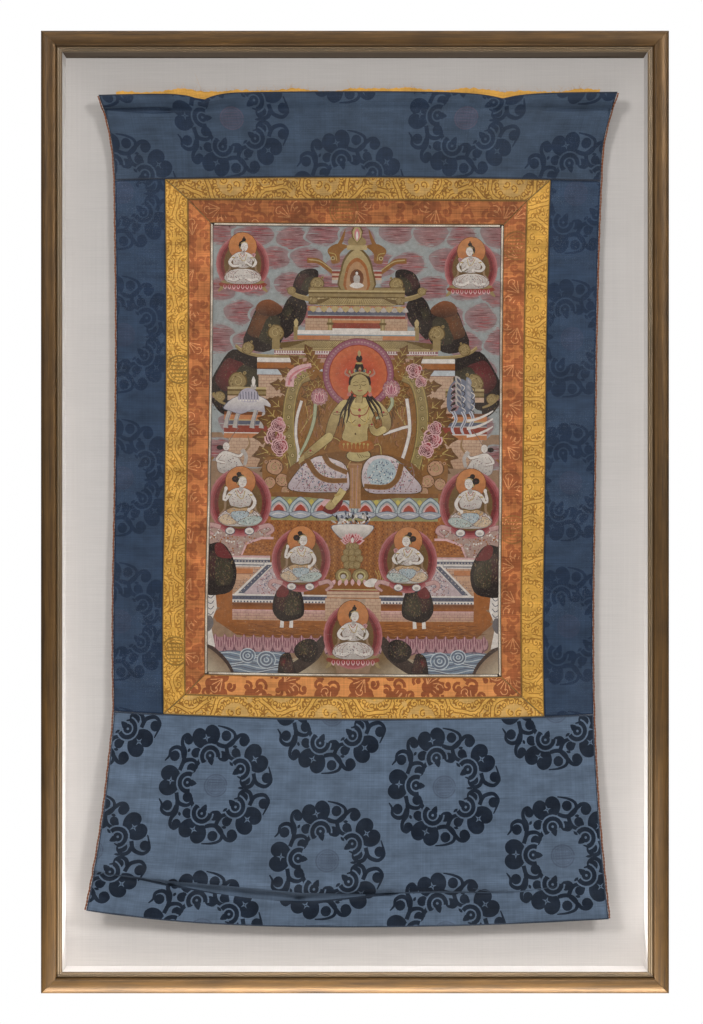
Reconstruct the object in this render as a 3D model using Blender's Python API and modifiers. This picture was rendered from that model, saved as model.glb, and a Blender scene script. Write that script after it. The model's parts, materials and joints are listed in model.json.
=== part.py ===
"""A brocade-mounted scroll painting hung in a gilt shadow-box frame.

The wall plane is Y = 0 and the front faces -Y. X runs to the right, Z up, and the origin is the middle
of the back board's rear face. The cloth is cut flat, sewn from panels, borders and cords, and every
piece lies on one draped surface: drape() carries a place on the flat cut to its place in the frame.
"""

import math
from typing import NamedTuple

import bmesh
import bpy
import numpy as np

MM = 0.001
GAP = 0.4 * MM

# Frame, front to back.
FRAME_WIDTH = 800 * MM
FRAME_HEIGHT = 1226 * MM
MOULDING_WIDTH = 27 * MM
LIP_FRONT = 46 * MM
LIP_BACK = 43 * MM
RABBET = 20 * MM
SPACER_THICKNESS = 6 * MM
SPACER_EDGE = 0.6 * MM
BOARD_THICKNESS = 6 * MM
FIT = 0.3 * MM


class Corner(NamedTuple):
    """A corner of the moulding's section, in millimetres: in from its outer side, out from the wall."""

    inward: float
    forward: float


FACE = (
    Corner(0, 44),
    Corner(1.5, 46.8),
    Corner(4.5, 49.2),
    Corner(8.5, 51.2),
    Corner(12.5, 52.0),
    Corner(16.0, 51.4),
    Corner(18.6, 49.8),
    Corner(19.2, 48.0),
)


class Bead(NamedTuple):
    """A round bead on the moulding, in millimetres."""

    inward: float
    forward: float
    radius: float


BEADS = (Bead(20.9, 47.3, 1.4), Bead(24.9, 46.0, 1.9))

# The flat cut of the cloth: distances across from its centre line, and drops from its top edge.
CLOTH_TOP = 536 * MM
CLOTH_LENGTH = 1060 * MM
HALF_WIDTH = 310 * MM
SHEET = 1.5 * MM
CURL_POWER = 3.0


class Border(NamedTuple):
    """The outer edge of a mitred border, or of the window inside the last one, in millimetres."""

    half_top: float  # half its width at the top
    half_bottom: float
    top: float  # the drop of its top edge
    bottom: float


YELLOW_EDGE = Border(246.0, 246.0, 109.0, 794.5)
RED_EDGE = Border(217.0, 217.5, 134.5, 769.5)
WINDOW = Border(188.0, 191.5, 163.5, 744.5)

CORD_RADIUS = 1.1 * MM
PIPING_RADIUS = 1.3 * MM
CANVAS_RECESS = 0.8 * MM
LINING_SHEET = 1.0 * MM
LINING_BEHIND = 4.6 * MM
LINING_DEPTH = 34 * MM
LINING_SHOWS = 4.2 * MM
LINING_WAVE = 1.8 * MM


class Row(NamedTuple):
    """One level of the hanging cloth, in millimetres."""

    drop: float  # below the top edge, on the flat cut
    left: float  # the left edge, across from the frame's middle
    right: float  # the right edge
    bow: float  # how far the middle is lifted above the edges
    rise_left: float  # how far the left edge is lifted
    rise_right: float
    tilt: float  # how far the right half hangs below the left, at the edge
    off_left: float  # the left edge's distance from the board
    off_middle: float
    off_right: float


ROWS = (
    Row(0, -329.5, 337.5, 6.5, 0, 4, 0, 17, 9, 17),
    Row(30, -319.5, 327.5, 5.6, 0, 2, 0, 13, 8, 13),
    Row(60, -313.5, 320.5, 5.0, 0, 0, 0, 10, 8, 10),
    Row(109, -309.5, 317.0, 4.6, 0, 0, 0.6, 8, 8, 8),
    Row(140, -309.0, 315.5, 0.5, 0, 0, 1.6, 8, 8, 8),
    Row(280, -307.3, 311.4, -1.0, 0, 0, 2.6, 8, 9, 8),
    Row(500, -308.8, 308.7, -1.5, 0, 0, 3.0, 8, 10, 8),
    Row(690, -311.5, 306.3, -2.0, 0, 0, 3.0, 9, 11, 9),
    Row(745, -311.2, 306.6, -3.5, 0, 0, 2.6, 10, 12, 9),
    Row(795, -310.5, 307.5, -8.0, 0, 0, 2.0, 12, 13, 10),
    Row(860, -316.0, 310.0, -8.5, 0, 0, 1.0, 17, 15, 12),
    Row(930, -324.0, 314.0, -9.0, 2, 0, 0, 21, 16, 15),
    Row(1000, -334.0, 320.0, -9.5, 7, 0, 0, 25, 16, 18),
    Row(1060, -344.0, 325.5, -10.0, 14, 2, 0, 28, 16, 21),
)


class Tie(NamedTuple):
    """A stitch through the top edge that pulls it down to a point, in millimetres."""

    across: float
    dip: float
    reach: float
    fade: float


TIES = (Tie(-187, 11.5, 15, 16), Tie(173, 9.0, 26, 16))


class Fold(NamedTuple):
    """A soft ridge, or a trough if it stands back, along a line on the flat cut, in millimetres."""

    across_from: float
    drop_from: float
    across_to: float
    drop_to: float
    width: float
    stands: float


FOLDS = (
    # the empty rod sleeve at the top: a roll, and the groove of its seam
    Fold(-330, 9, -150, 9, 8, 3.0),
    Fold(-150, 9, 170, 9, 8, 1.6),
    Fold(170, 9, 330, 9, 8, 3.0),
    Fold(-330, 22, -215, 21, 4, -2.6),
    Fold(200, 22, 330, 22, 4, -2.2),
    # the lower rod sleeve: its upper edge hangs over, from the left to past the middle
    Fold(-235, 1000, -60, 1012, 11, 4.0),
    Fold(-60, 1012, 165, 1004, 11, 3.6),
    Fold(-235, 1016, -60, 1030, 8, -4.2),
    Fold(-60, 1030, 165, 1020, 8, -3.8),
    # puckers by the left edge, and slow waves down the foot
    Fold(-296, 915, -276, 985, 8, 3.2),
    Fold(-262, 930, -250, 1000, 9, -2.6),
    Fold(-300, 1028, -250, 1052, 12, -2.5),
    Fold(255, 990, 300, 1052, 14, 2.4),
    Fold(-110, 830, -130, 985, 22, 1.6),
    Fold(120, 840, 135, 980, 24, -1.4),
)

SEGMENTS = 6


def table_at(column, drop):
    """A column of ROWS at these drops, as a cubic whose slope at a row comes from its neighbours."""
    drops = np.array([row.drop for row in ROWS]) * MM
    values = np.array([getattr(row, column) for row in ROWS]) * MM
    slopes = np.gradient(values, drops)
    below = np.clip(np.searchsorted(drops, drop) - 1, 0, len(ROWS) - 2)
    span = drops[below + 1] - drops[below]
    t = np.clip((drop - drops[below]) / span, 0, 1)
    return (
        values[below] * (1 + 2 * t) * (1 - t) ** 2
        + slopes[below] * span * t * (1 - t) ** 2
        + values[below + 1] * t * t * (3 - 2 * t)
        + slopes[below + 1] * span * t * t * (t - 1)
    )


def fold_height(fold, across, drop):
    """How far the fold moves the cloth forward: a bell across its line, fading past its ends."""
    start = np.array((fold.across_from, fold.drop_from)) * MM
    line = np.array((fold.across_to, fold.drop_to)) * MM - start
    along = ((across - start[0]) * line[0] + (drop - start[1]) * line[1]) / (line @ line)
    held = np.clip(along, 0, 1)
    away = np.hypot(across - start[0] - held * line[0], drop - start[1] - held * line[1])
    return fold.stands * MM * np.exp(-((away / (fold.width * MM)) ** 2))


def drape(across, drop, forward=0.0, folds=FOLDS):
    """Places on the flat cut as points in the frame, moved forward by that much."""
    across, drop = np.atleast_1d(across).astype(float), np.atleast_1d(drop).astype(float)
    share = (across + HALF_WIDTH) / (2 * HALF_WIDTH)
    side = 2 * share - 1
    curl = np.abs(side) ** CURL_POWER
    left, right = table_at("left", drop), table_at("right", drop)
    off = table_at("off_middle", drop)
    off_edge = np.where(side < 0, table_at("off_left", drop), table_at("off_right", drop))
    rise = np.where(side < 0, table_at("rise_left", drop), table_at("rise_right", drop))
    off = off + (off_edge - off) * curl
    off = off + sum(fold_height(fold, across, drop) for fold in folds)
    height = CLOTH_TOP - drop + table_at("bow", drop) * (1 - side**2) + rise * curl
    height = height - table_at("tilt", drop) * side
    for tie in TIES:
        pull = np.exp(-np.abs(across - tie.across * MM) / (tie.reach * MM))
        height = height - tie.dip * MM * pull * np.exp(-drop / (tie.fade * MM))
    return np.stack((left + share * (right - left), -(BOARD_THICKNESS + off + forward), height), 1)


# Materials


def material(name, colour, roughness, metallic=0.0):
    made = bpy.data.materials.new(name)
    made.use_nodes = True
    shader = made.node_tree.nodes["Principled BSDF"]
    shader.inputs["Base Color"].default_value = (*colour, 1.0)
    shader.inputs["Roughness"].default_value = roughness
    shader.inputs["Metallic"].default_value = metallic
    return made


def make_materials():
    return {
        "gilt": material("gilt_wood", (0.30, 0.20, 0.09), 0.38, 0.8),
        "linen": material("linen", (0.62, 0.60, 0.57), 0.95),
        "blue": material("blue_brocade", (0.055, 0.10, 0.19), 0.7),
        "pale_blue": material("pale_blue_brocade", (0.12, 0.19, 0.28), 0.7),
        "yellow": material("yellow_brocade", (0.62, 0.38, 0.08), 0.6),
        "red": material("orange_red_brocade", (0.45, 0.16, 0.05), 0.65),
        "canvas": material("painted_canvas", (0.42, 0.30, 0.22), 0.85),
        "cord": material("cream_cord", (0.75, 0.60, 0.45), 0.8),
        "piping": material("russet_piping", (0.32, 0.13, 0.06), 0.85),
        "lining": material("yellow_lining", (0.70, 0.36, 0.06), 0.75),
    }


# Building


def finish(obj, name, made, smooth=True):
    obj.name = name
    obj.data.name = name
    obj.data.materials.clear()
    obj.data.materials.append(made)
    if smooth and obj.type == "MESH":
        obj.data.shade_smooth()
        obj.data.set_sharp_from_angle(angle=math.radians(40))
    return obj


def cloth_sheet(name, corners, cells, made, forward=0.0, folds=FOLDS, wave=None, thickness=SHEET):
    """A thin sheet over four corners of the flat cut: top left, top right, bottom right, bottom left."""
    columns, rows = cells
    bpy.ops.mesh.primitive_grid_add(x_subdivisions=columns, y_subdivisions=rows, size=1)
    obj = bpy.context.object
    grid = np.empty(len(obj.data.vertices) * 3)
    obj.data.vertices.foreach_get("co", grid)
    grid = grid.reshape(-1, 3)
    s, t = (grid[:, 0] + 0.5)[:, None], (0.5 - grid[:, 1])[:, None]
    top_left, top_right, bottom_right, bottom_left = (np.array(corner) for corner in corners)
    flat = (top_left * (1 - s) + top_right * s) * (1 - t) + (bottom_left * (1 - s) + bottom_right * s) * t
    points = drape(flat[:, 0], flat[:, 1], forward, folds)
    if wave:
        points[:, 2] += wave(flat[:, 0]) * (1 - t[:, 0])
    obj.data.vertices.foreach_set("co", points.ravel())
    thick = obj.modifiers.new("Thickness", "SOLIDIFY")
    thick.thickness = thickness
    thick.offset = 0
    return finish(obj, name, made)


def tube(name, points, radius, made):
    """A cord along the points, with closed ends."""
    curve = bpy.data.curves.new(name, "CURVE")
    curve.dimensions = "3D"
    curve.bevel_depth = radius
    curve.bevel_resolution = 1
    curve.use_fill_caps = True
    spline = curve.splines.new("POLY")
    spline.points.add(len(points) - 1)
    for point, place in zip(spline.points, points, strict=True):
        point.co = (*place, 1)
    obj = bpy.data.objects.new(name, curve)
    bpy.context.scene.collection.objects.link(obj)
    curve.materials.append(made)
    return obj


def box(name, low, high, edge, made):
    """A block between two corners, its edges eased if a width is given."""
    bpy.ops.mesh.primitive_cube_add(size=1)
    obj = bpy.context.object
    for vertex in obj.data.vertices:
        vertex.co = [b if c > 0 else a for a, b, c in zip(low, high, vertex.co, strict=True)]
    if edge:
        ease = obj.modifiers.new("Eased_edges", "BEVEL")
        ease.width = edge
        ease.segments = 2
    return finish(obj, name, made)


# Frame


def moulding_outline():
    """The moulding's section, as distances in from its outer side and forward from the wall."""
    outline = [(0, 0)] + [(corner.inward * MM, corner.forward * MM) for corner in FACE]
    for bead in BEADS:
        for k in range(SEGMENTS + 1):
            turn = math.radians(180 - 180 * k / SEGMENTS)
            inward = bead.inward + bead.radius * math.cos(turn)
            outline.append((inward * MM, (bead.forward + bead.radius * math.sin(turn)) * MM))
    outline += [(MOULDING_WIDTH, LIP_FRONT), (MOULDING_WIDTH, LIP_BACK), (RABBET, LIP_BACK), (RABBET, 0)]
    return outline


def rail(name, length, place, made):
    """A mitred length of moulding. place() takes distances along, inward and forward to a point."""
    shape = bmesh.new()
    section = shape.faces.new([shape.verts.new((0, i, f)) for i, f in moulding_outline()])
    grown = bmesh.ops.extrude_face_region(shape, geom=[section])["geom"]
    for vertex in [item for item in grown if isinstance(item, bmesh.types.BMVert)]:
        vertex.co.x = 1
    for vertex in shape.verts:
        end, inward, forward = vertex.co
        reach = length / 2 - inward - GAP / 2
        vertex.co = place(reach if end > 0.5 else -reach, inward, forward)
    bmesh.ops.recalc_face_normals(shape, faces=shape.faces)
    if shape.calc_volume(signed=True) < 0:
        bmesh.ops.reverse_faces(shape, faces=shape.faces)
    mesh = bpy.data.meshes.new(name)
    shape.to_mesh(mesh)
    shape.free()
    obj = bpy.data.objects.new(name, mesh)
    bpy.context.scene.collection.objects.link(obj)
    return finish(obj, name, made)


def build_frame(looks):
    half_w, half_h = FRAME_WIDTH / 2, FRAME_HEIGHT / 2
    rail("rail_top", FRAME_WIDTH, lambda a, i, f: (a, -f, half_h - i), looks["gilt"])
    rail("rail_bottom", FRAME_WIDTH, lambda a, i, f: (a, -f, i - half_h), looks["gilt"])
    rail("rail_left", FRAME_HEIGHT, lambda a, i, f: (i - half_w, -f, a), looks["gilt"])
    rail("rail_right", FRAME_HEIGHT, lambda a, i, f: (half_w - i, -f, a), looks["gilt"])

    x_out, z_out = half_w - RABBET - FIT, half_h - RABBET - FIT
    x_in, z_in = x_out - SPACER_THICKNESS, z_out - SPACER_THICKNESS
    front, back = -(LIP_BACK - FIT), -(BOARD_THICKNESS + FIT)
    box("back_board", (-x_out, -BOARD_THICKNESS, -z_out), (x_out, 0, z_out), 0, looks["linen"])
    box("spacer_left", (-x_out, front, -z_out), (-x_in, back, z_out), SPACER_EDGE, looks["linen"])
    box("spacer_right", (x_in, front, -z_out), (x_out, back, z_out), SPACER_EDGE, looks["linen"])
    between = x_in - FIT
    box("spacer_top", (-between, front, z_in), (between, back, z_out), SPACER_EDGE, looks["linen"])
    box("spacer_bottom", (-between, front, -z_out), (between, back, -z_in), SPACER_EDGE, looks["linen"])


# Cloth


def oblong(across_from, across_to, drop_from, drop_to):
    """The corners of an upright panel, half a gap inside its seams."""
    g = GAP / 2
    a, b, c, d = across_from + g, across_to - g, drop_from + g, drop_to - g
    return (a, c), (b, c), (b, d), (a, d)


def ring_corners(border, grow):
    """The corners of a border's edge, grown outwards: top left, top right, bottom right, bottom left."""
    up, down = border.half_top * MM + grow, border.half_bottom * MM + grow
    top, bottom = border.top * MM - grow, border.bottom * MM + grow
    return (-up, top), (up, top), (down, bottom), (-down, bottom)


def border_strips(outer, inner):
    """The corners of four strips between two borders, mitred where they meet."""
    g = GAP / 2
    a, b, c, d = ring_corners(outer, -g)
    e, f, h, k = ring_corners(inner, g)

    def shifted(corner, across, drop):
        return corner[0] + across, corner[1] + drop

    m = GAP * 0.7
    return {
        "top": (shifted(a, m, 0), shifted(b, -m, 0), shifted(f, -m, 0), shifted(e, m, 0)),
        "bottom": (shifted(k, m, 0), shifted(h, -m, 0), shifted(c, -m, 0), shifted(d, m, 0)),
        "left": (shifted(a, 0, m), shifted(e, 0, m), shifted(k, 0, -m), shifted(d, 0, -m)),
        "right": (shifted(f, 0, m), shifted(b, 0, m), shifted(c, 0, -m), shifted(h, 0, -m)),
    }


def build_panels(looks):
    edge = HALF_WIDTH
    inner, top, foot = YELLOW_EDGE.half_top * MM, YELLOW_EDGE.top * MM, YELLOW_EDGE.bottom * MM
    cloth_sheet("blue_top", oblong(-edge, edge, 0, top), (34, 9), looks["blue"])
    cloth_sheet("blue_left", oblong(-edge, -inner, top, foot), (3, 20), looks["blue"])
    cloth_sheet("blue_right", oblong(inner, edge, top, foot), (3, 20), looks["blue"])
    cloth_sheet("blue_bottom", oblong(-edge, edge, foot, CLOTH_LENGTH), (36, 20), looks["pale_blue"])
    for colour, outer, inside in (("yellow", YELLOW_EDGE, RED_EDGE), ("red", RED_EDGE, WINDOW)):
        for side, corners in border_strips(outer, inside).items():
            cells = (20, 2) if side in ("top", "bottom") else (2, 20)
            cloth_sheet(f"{colour}_{side}", corners, cells, looks[colour])


def between(start, end, count):
    """Places on the flat cut, evenly along a line."""
    return np.linspace(start[0], end[0], count), np.linspace(start[1], end[1], count)


def build_picture(looks):
    """The painted canvas and the cord round it."""
    canvas = ring_corners(WINDOW, -(2 * CORD_RADIUS + 1.5 * GAP))
    cloth_sheet("canvas", canvas, (10, 14), looks["canvas"], forward=-CANVAS_RECESS)
    line = ring_corners(WINDOW, -(CORD_RADIUS + GAP / 2))
    short = CORD_RADIUS + GAP
    a, b, c, d = line
    across, drop = between((a[0] + short, a[1]), (b[0] - short, b[1]), 13)
    tube("cord_top", drape(across, drop), CORD_RADIUS, looks["cord"])
    across, drop = between((d[0] + short, d[1]), (c[0] - short, c[1]), 13)
    tube("cord_bottom", drape(across, drop), CORD_RADIUS, looks["cord"])
    tube("cord_left", drape(*between(a, d, 17)), CORD_RADIUS, looks["cord"])
    tube("cord_right", drape(*between(b, c, 17)), CORD_RADIUS, looks["cord"])


def build_edges(looks):
    """The piping down both sides, and the lining that stands up behind the top edge."""
    line = HALF_WIDTH + PIPING_RADIUS + GAP
    for name, across in (("piping_left", -line), ("piping_right", line)):
        path = between((across, 2 * MM), (across, CLOTH_LENGTH - 1 * MM), 38)
        tube(name, drape(*path), PIPING_RADIUS, looks["piping"])
    half = HALF_WIDTH - 20 * MM
    corners = (-half, 0), (half, 0), (half, LINING_DEPTH), (-half, LINING_DEPTH)

    def above_edge(across):
        """The lining's height over the brocade's edge: it fills the dips at the ties."""
        filled = sum(
            tie.dip * MM * np.exp(-np.abs(across - tie.across * MM) / (tie.reach * MM)) for tie in TIES
        )
        return LINING_SHOWS + filled * 0.75 + LINING_WAVE * np.sin(across * 31) * np.cos(across * 13)

    cloth_sheet(
        "lining_top",
        corners,
        (36, 3),
        looks["lining"],
        forward=-LINING_BEHIND,
        folds=(),
        wave=above_edge,
        thickness=LINING_SHEET,
    )


def main():
    for obj in list(bpy.data.objects):
        bpy.data.objects.remove(obj)
    looks = make_materials()
    build_frame(looks)
    build_panels(looks)
    build_picture(looks)
    build_edges(looks)
    parts = bpy.data.collections.new("Framed_scroll_painting")
    bpy.context.scene.collection.children.link(parts)
    for obj in list(bpy.context.scene.collection.objects):
        bpy.context.scene.collection.objects.unlink(obj)
        parts.objects.link(obj)


main()
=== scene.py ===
"""A brocade-mounted scroll painting hung on a linen board in a gilt shadow-box frame.

Sizes are in metres unless a name or comment says otherwise. The wall plane is Y = 0 and the front faces
-Y. The cloth is thought of as flat panels: a place on the flat cut is a distance across from the
centre line and a drop from the top edge, both in millimetres, and drape() carries it to its place in
the frame. Patterns and the picture are drawn as flat shapes, cut into the panel's own mesh.
"""

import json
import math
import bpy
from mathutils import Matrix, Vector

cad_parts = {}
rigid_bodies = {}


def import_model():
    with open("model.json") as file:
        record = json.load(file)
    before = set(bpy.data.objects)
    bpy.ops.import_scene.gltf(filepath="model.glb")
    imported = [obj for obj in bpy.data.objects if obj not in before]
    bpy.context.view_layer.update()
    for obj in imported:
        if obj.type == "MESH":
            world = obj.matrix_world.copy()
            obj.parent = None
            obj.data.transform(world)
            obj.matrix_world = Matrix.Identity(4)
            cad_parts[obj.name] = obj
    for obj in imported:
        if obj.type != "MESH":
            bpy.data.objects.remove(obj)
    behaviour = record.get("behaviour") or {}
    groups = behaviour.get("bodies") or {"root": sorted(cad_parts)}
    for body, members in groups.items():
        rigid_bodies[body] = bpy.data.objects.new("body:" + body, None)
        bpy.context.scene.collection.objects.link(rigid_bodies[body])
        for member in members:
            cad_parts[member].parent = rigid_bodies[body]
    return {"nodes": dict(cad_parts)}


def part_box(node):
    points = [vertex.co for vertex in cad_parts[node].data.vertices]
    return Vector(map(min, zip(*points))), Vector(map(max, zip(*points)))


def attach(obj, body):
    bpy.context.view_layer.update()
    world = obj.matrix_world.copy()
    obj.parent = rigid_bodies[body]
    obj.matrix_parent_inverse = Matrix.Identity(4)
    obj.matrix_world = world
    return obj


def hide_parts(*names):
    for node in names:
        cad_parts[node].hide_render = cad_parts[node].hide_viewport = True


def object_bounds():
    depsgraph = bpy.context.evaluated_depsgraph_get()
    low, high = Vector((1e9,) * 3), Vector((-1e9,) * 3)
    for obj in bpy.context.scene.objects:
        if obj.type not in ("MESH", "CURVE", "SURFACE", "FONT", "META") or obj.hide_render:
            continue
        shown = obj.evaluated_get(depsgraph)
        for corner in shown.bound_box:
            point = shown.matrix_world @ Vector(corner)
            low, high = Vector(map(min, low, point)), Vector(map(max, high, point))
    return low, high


bl_info = {
    "name": "Framed scroll painting",
    "version": (1, 0, 0),
    "blender": (4, 5, 0),
    "location": "3D View > Sidebar > Scroll",
    "description": "Builds a silk-mounted scroll painting and its shadow-box frame",
    "category": "Object",
}

from typing import NamedTuple

import bpy
import numpy as np
from bpy.props import FloatProperty, FloatVectorProperty, IntProperty, PointerProperty
from mathutils import Vector
from mathutils.geometry import delaunay_2d_cdt

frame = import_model()
CAD_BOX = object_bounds()

MM = 0.001


# The hanging cloth

CLOTH_TOP = 536
CLOTH_LENGTH = 1060
HALF_WIDTH = 310
SHEET = 1.5
GAP = 0.4
CURL_POWER = 3.0
BOARD_FRONT = -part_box("back_board")[0][1] / MM


class Row(NamedTuple):
    """One level of the hanging cloth, in millimetres."""

    drop: float  # below the top edge, on the flat cut
    left: float  # the left edge, across from the frame's middle
    right: float  # the right edge
    bow: float  # how far the middle is lifted above the edges
    rise_left: float  # how far the left edge is lifted
    rise_right: float
    tilt: float  # how far the right half hangs below the left, at the edge
    off_left: float  # the left edge's distance from the board
    off_middle: float
    off_right: float


ROWS = (
    Row(0, -329.5, 337.5, 6.5, 0, 4, 0, 17, 9, 17),
    Row(30, -319.5, 327.5, 5.6, 0, 2, 0, 13, 8, 13),
    Row(60, -313.5, 320.5, 5.0, 0, 0, 0, 10, 8, 10),
    Row(109, -309.5, 317.0, 4.6, 0, 0, 0.6, 8, 8, 8),
    Row(140, -309.0, 315.5, 0.5, 0, 0, 1.6, 8, 8, 8),
    Row(280, -307.3, 311.4, -1.0, 0, 0, 2.6, 8, 9, 8),
    Row(500, -308.8, 308.7, -1.5, 0, 0, 3.0, 8, 10, 8),
    Row(690, -311.5, 306.3, -2.0, 0, 0, 3.0, 9, 11, 9),
    Row(745, -311.2, 306.6, -3.5, 0, 0, 2.6, 10, 12, 9),
    Row(795, -310.5, 307.5, -8.0, 0, 0, 2.0, 12, 13, 10),
    Row(860, -316.0, 310.0, -8.5, 0, 0, 1.0, 17, 15, 12),
    Row(930, -324.0, 314.0, -9.0, 2, 0, 0, 21, 16, 15),
    Row(1000, -334.0, 320.0, -9.5, 7, 0, 0, 25, 16, 18),
    Row(1060, -344.0, 325.5, -10.0, 14, 2, 0, 28, 16, 21),
)


class Tie(NamedTuple):
    """A stitch through the top edge that pulls it down to a point, in millimetres."""

    across: float
    dip: float
    reach: float
    fade: float


TIES = (Tie(-187, 11.5, 15, 16), Tie(173, 9.0, 26, 16))


class Fold(NamedTuple):
    """A soft ridge, or a trough if it stands back, along a line on the flat cut, in millimetres."""

    across_from: float
    drop_from: float
    across_to: float
    drop_to: float
    width: float
    stands: float


FOLDS = (
    # the empty rod sleeve at the top: a roll, and the groove of its seam
    Fold(-330, 9, -150, 9, 8, 3.0),
    Fold(-150, 9, 170, 9, 8, 1.6),
    Fold(170, 9, 330, 9, 8, 3.0),
    Fold(-330, 19, -232, 21, 3.6, -3.4),
    Fold(228, 20, 330, 21, 3.6, -3.2),
    Fold(-225, 21, 222, 20, 3, -0.9),
    # the lower rod sleeve: its upper edge hangs over, from the left to past the middle
    Fold(-312, 999, -215, 1004, 9, 3.4),
    Fold(-215, 1004, -60, 1014, 9, 4.0),
    Fold(-60, 1014, 50, 1008, 9, 3.6),
    Fold(50, 1008, 190, 1012, 9, 2.2),
    Fold(-312, 1008, -215, 1012, 4.4, -3.0),
    Fold(-215, 1012, -60, 1023, 4.6, -6.0),
    Fold(-60, 1023, 50, 1017, 4.6, -5.4),
    Fold(50, 1017, 190, 1020, 4.4, -2.4),
    # puckers by the left edge, and slow waves down the foot
    Fold(-296, 915, -276, 985, 8, 3.2),
    Fold(-262, 930, -250, 1000, 9, -2.6),
    Fold(-300, 1028, -250, 1052, 12, -2.5),
    Fold(255, 990, 300, 1052, 14, 2.4),
    Fold(-290, 850, -262, 900, 7, -2.2),
    Fold(-304, 870, -284, 960, 6, 2.0),
    Fold(-62, 905, -44, 985, 4, 1.0),
    Fold(286, 840, 300, 940, 9, 1.8),
    Fold(-110, 830, -130, 985, 22, 1.6),
    Fold(120, 840, 135, 980, 24, -1.4),
)


def table_at(column, drop):
    """A column of ROWS at these drops, as a cubic whose slope at a row comes from its neighbours."""
    drops = np.array([row.drop for row in ROWS], float)
    values = np.array([getattr(row, column) for row in ROWS], float)
    slopes = np.gradient(values, drops)
    below = np.clip(np.searchsorted(drops, drop) - 1, 0, len(ROWS) - 2)
    span = drops[below + 1] - drops[below]
    t = np.clip((drop - drops[below]) / span, 0, 1)
    return (
        values[below] * (1 + 2 * t) * (1 - t) ** 2
        + slopes[below] * span * t * (1 - t) ** 2
        + values[below + 1] * t * t * (3 - 2 * t)
        + slopes[below + 1] * span * t * t * (t - 1)
    )


def fold_height(fold, across, drop):
    """How far the fold moves the cloth forward: a bell across its line, fading past its ends."""
    start = np.array((fold.across_from, fold.drop_from), float)
    line = np.array((fold.across_to, fold.drop_to), float) - start
    along = ((across - start[0]) * line[0] + (drop - start[1]) * line[1]) / (line @ line)
    held = np.clip(along, 0, 1)
    away = np.hypot(across - start[0] - held * line[0], drop - start[1] - held * line[1])
    return fold.stands * np.exp(-((away / fold.width) ** 2))


PRESSED_LINES, PRESSED_FROM = (-205, -118, 98, 222), 795


def creases(across, drop):
    """Fine slack in the silk: shallow ripples that drift over the cloth, and four old press folds in its foot."""
    ripple = np.sin(across / 21 + 1.7 * np.sin(drop / 63)) * np.sin(drop / 37 + 1.3 * np.sin(across / 90))
    fine = np.sin(across / 7.3 + drop / 19 + np.sin(drop / 11)) * np.sin(drop / 9.1 - across / 31)
    pressed = sum(np.exp(-(((across - line) / 1.7) ** 2)) for line in PRESSED_LINES)
    return 0.32 * ripple + 0.1 * fine - 0.5 * pressed * (drop > PRESSED_FROM)


def drape(across, drop, forward=0.0, folds=FOLDS):
    """Places on the flat cut as points in the frame, in metres, moved forward by that much."""
    across, drop = np.atleast_1d(across).astype(float), np.atleast_1d(drop).astype(float)
    share = (across + HALF_WIDTH) / (2 * HALF_WIDTH)
    side = 2 * share - 1
    curl = np.abs(side) ** CURL_POWER
    left, right = table_at("left", drop), table_at("right", drop)
    off = table_at("off_middle", drop)
    off_edge = np.where(side < 0, table_at("off_left", drop), table_at("off_right", drop))
    rise = np.where(side < 0, table_at("rise_left", drop), table_at("rise_right", drop))
    off = off + (off_edge - off) * curl
    off = off + sum(fold_height(fold, across, drop) for fold in folds)
    height = CLOTH_TOP - drop + table_at("bow", drop) * (1 - side**2) + rise * curl
    height = height - table_at("tilt", drop) * side
    for tie in TIES:
        pull = np.exp(-np.abs(across - tie.across) / tie.reach)
        height = height - tie.dip * pull * np.exp(-drop / tie.fade)
    out = BOARD_FRONT + off + creases(across, drop) + forward
    return np.stack((left + share * (right - left), -out, height), 1) * MM


# Flat drawing


def colour(red, green, blue):
    """A paint or dye from its screen values, 0 to 255, as linear light."""
    share = np.array((red, green, blue)) / 255
    return tuple(np.where(share <= 0.04045, share / 12.92, ((share + 0.055) / 1.055) ** 2.4))


class Blend(NamedTuple):
    """Paint that goes from one colour at a point to another at a second point, or on a ring round it."""

    first: tuple
    second: tuple
    start: tuple
    end: tuple
    round: bool = False


class Shape(NamedTuple):
    """A flat shape: its outline in millimetres, its paint, and how gilded or how figured it is."""

    points: np.ndarray
    paint: object
    gilt: float


def smooth(points, closed=False, steps=4):
    """A curve through the points."""
    points = np.asarray(points, float)
    if closed:
        before, after, last = np.roll(points, 1, 0), np.roll(points, -1, 0), np.roll(points, -2, 0)
    else:
        ends = np.vstack((2 * points[0] - points[1], points, 2 * points[-1] - points[-2]))
        before, points, after, last = ends[:-3], ends[1:-2], ends[2:-1], ends[3:]
    curve = []
    for t in np.arange(steps) / steps:
        curve.append(
            0.5
            * (
                2 * points
                + (after - before) * t
                + (2 * before - 5 * points + 4 * after - last) * t**2
                + (3 * points - before - 3 * after + last) * t**3
            )
        )
    line = np.stack(curve, 1).reshape(-1, 2)
    return line if closed else np.vstack((line, after[-1]))


def around(angle, wide, high=None, x=0.0, y=0.0):
    """Places on an ellipse, at these angles."""
    return np.stack((x + wide * np.cos(angle), y + (wide if high is None else high) * np.sin(angle)), 1)


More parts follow.
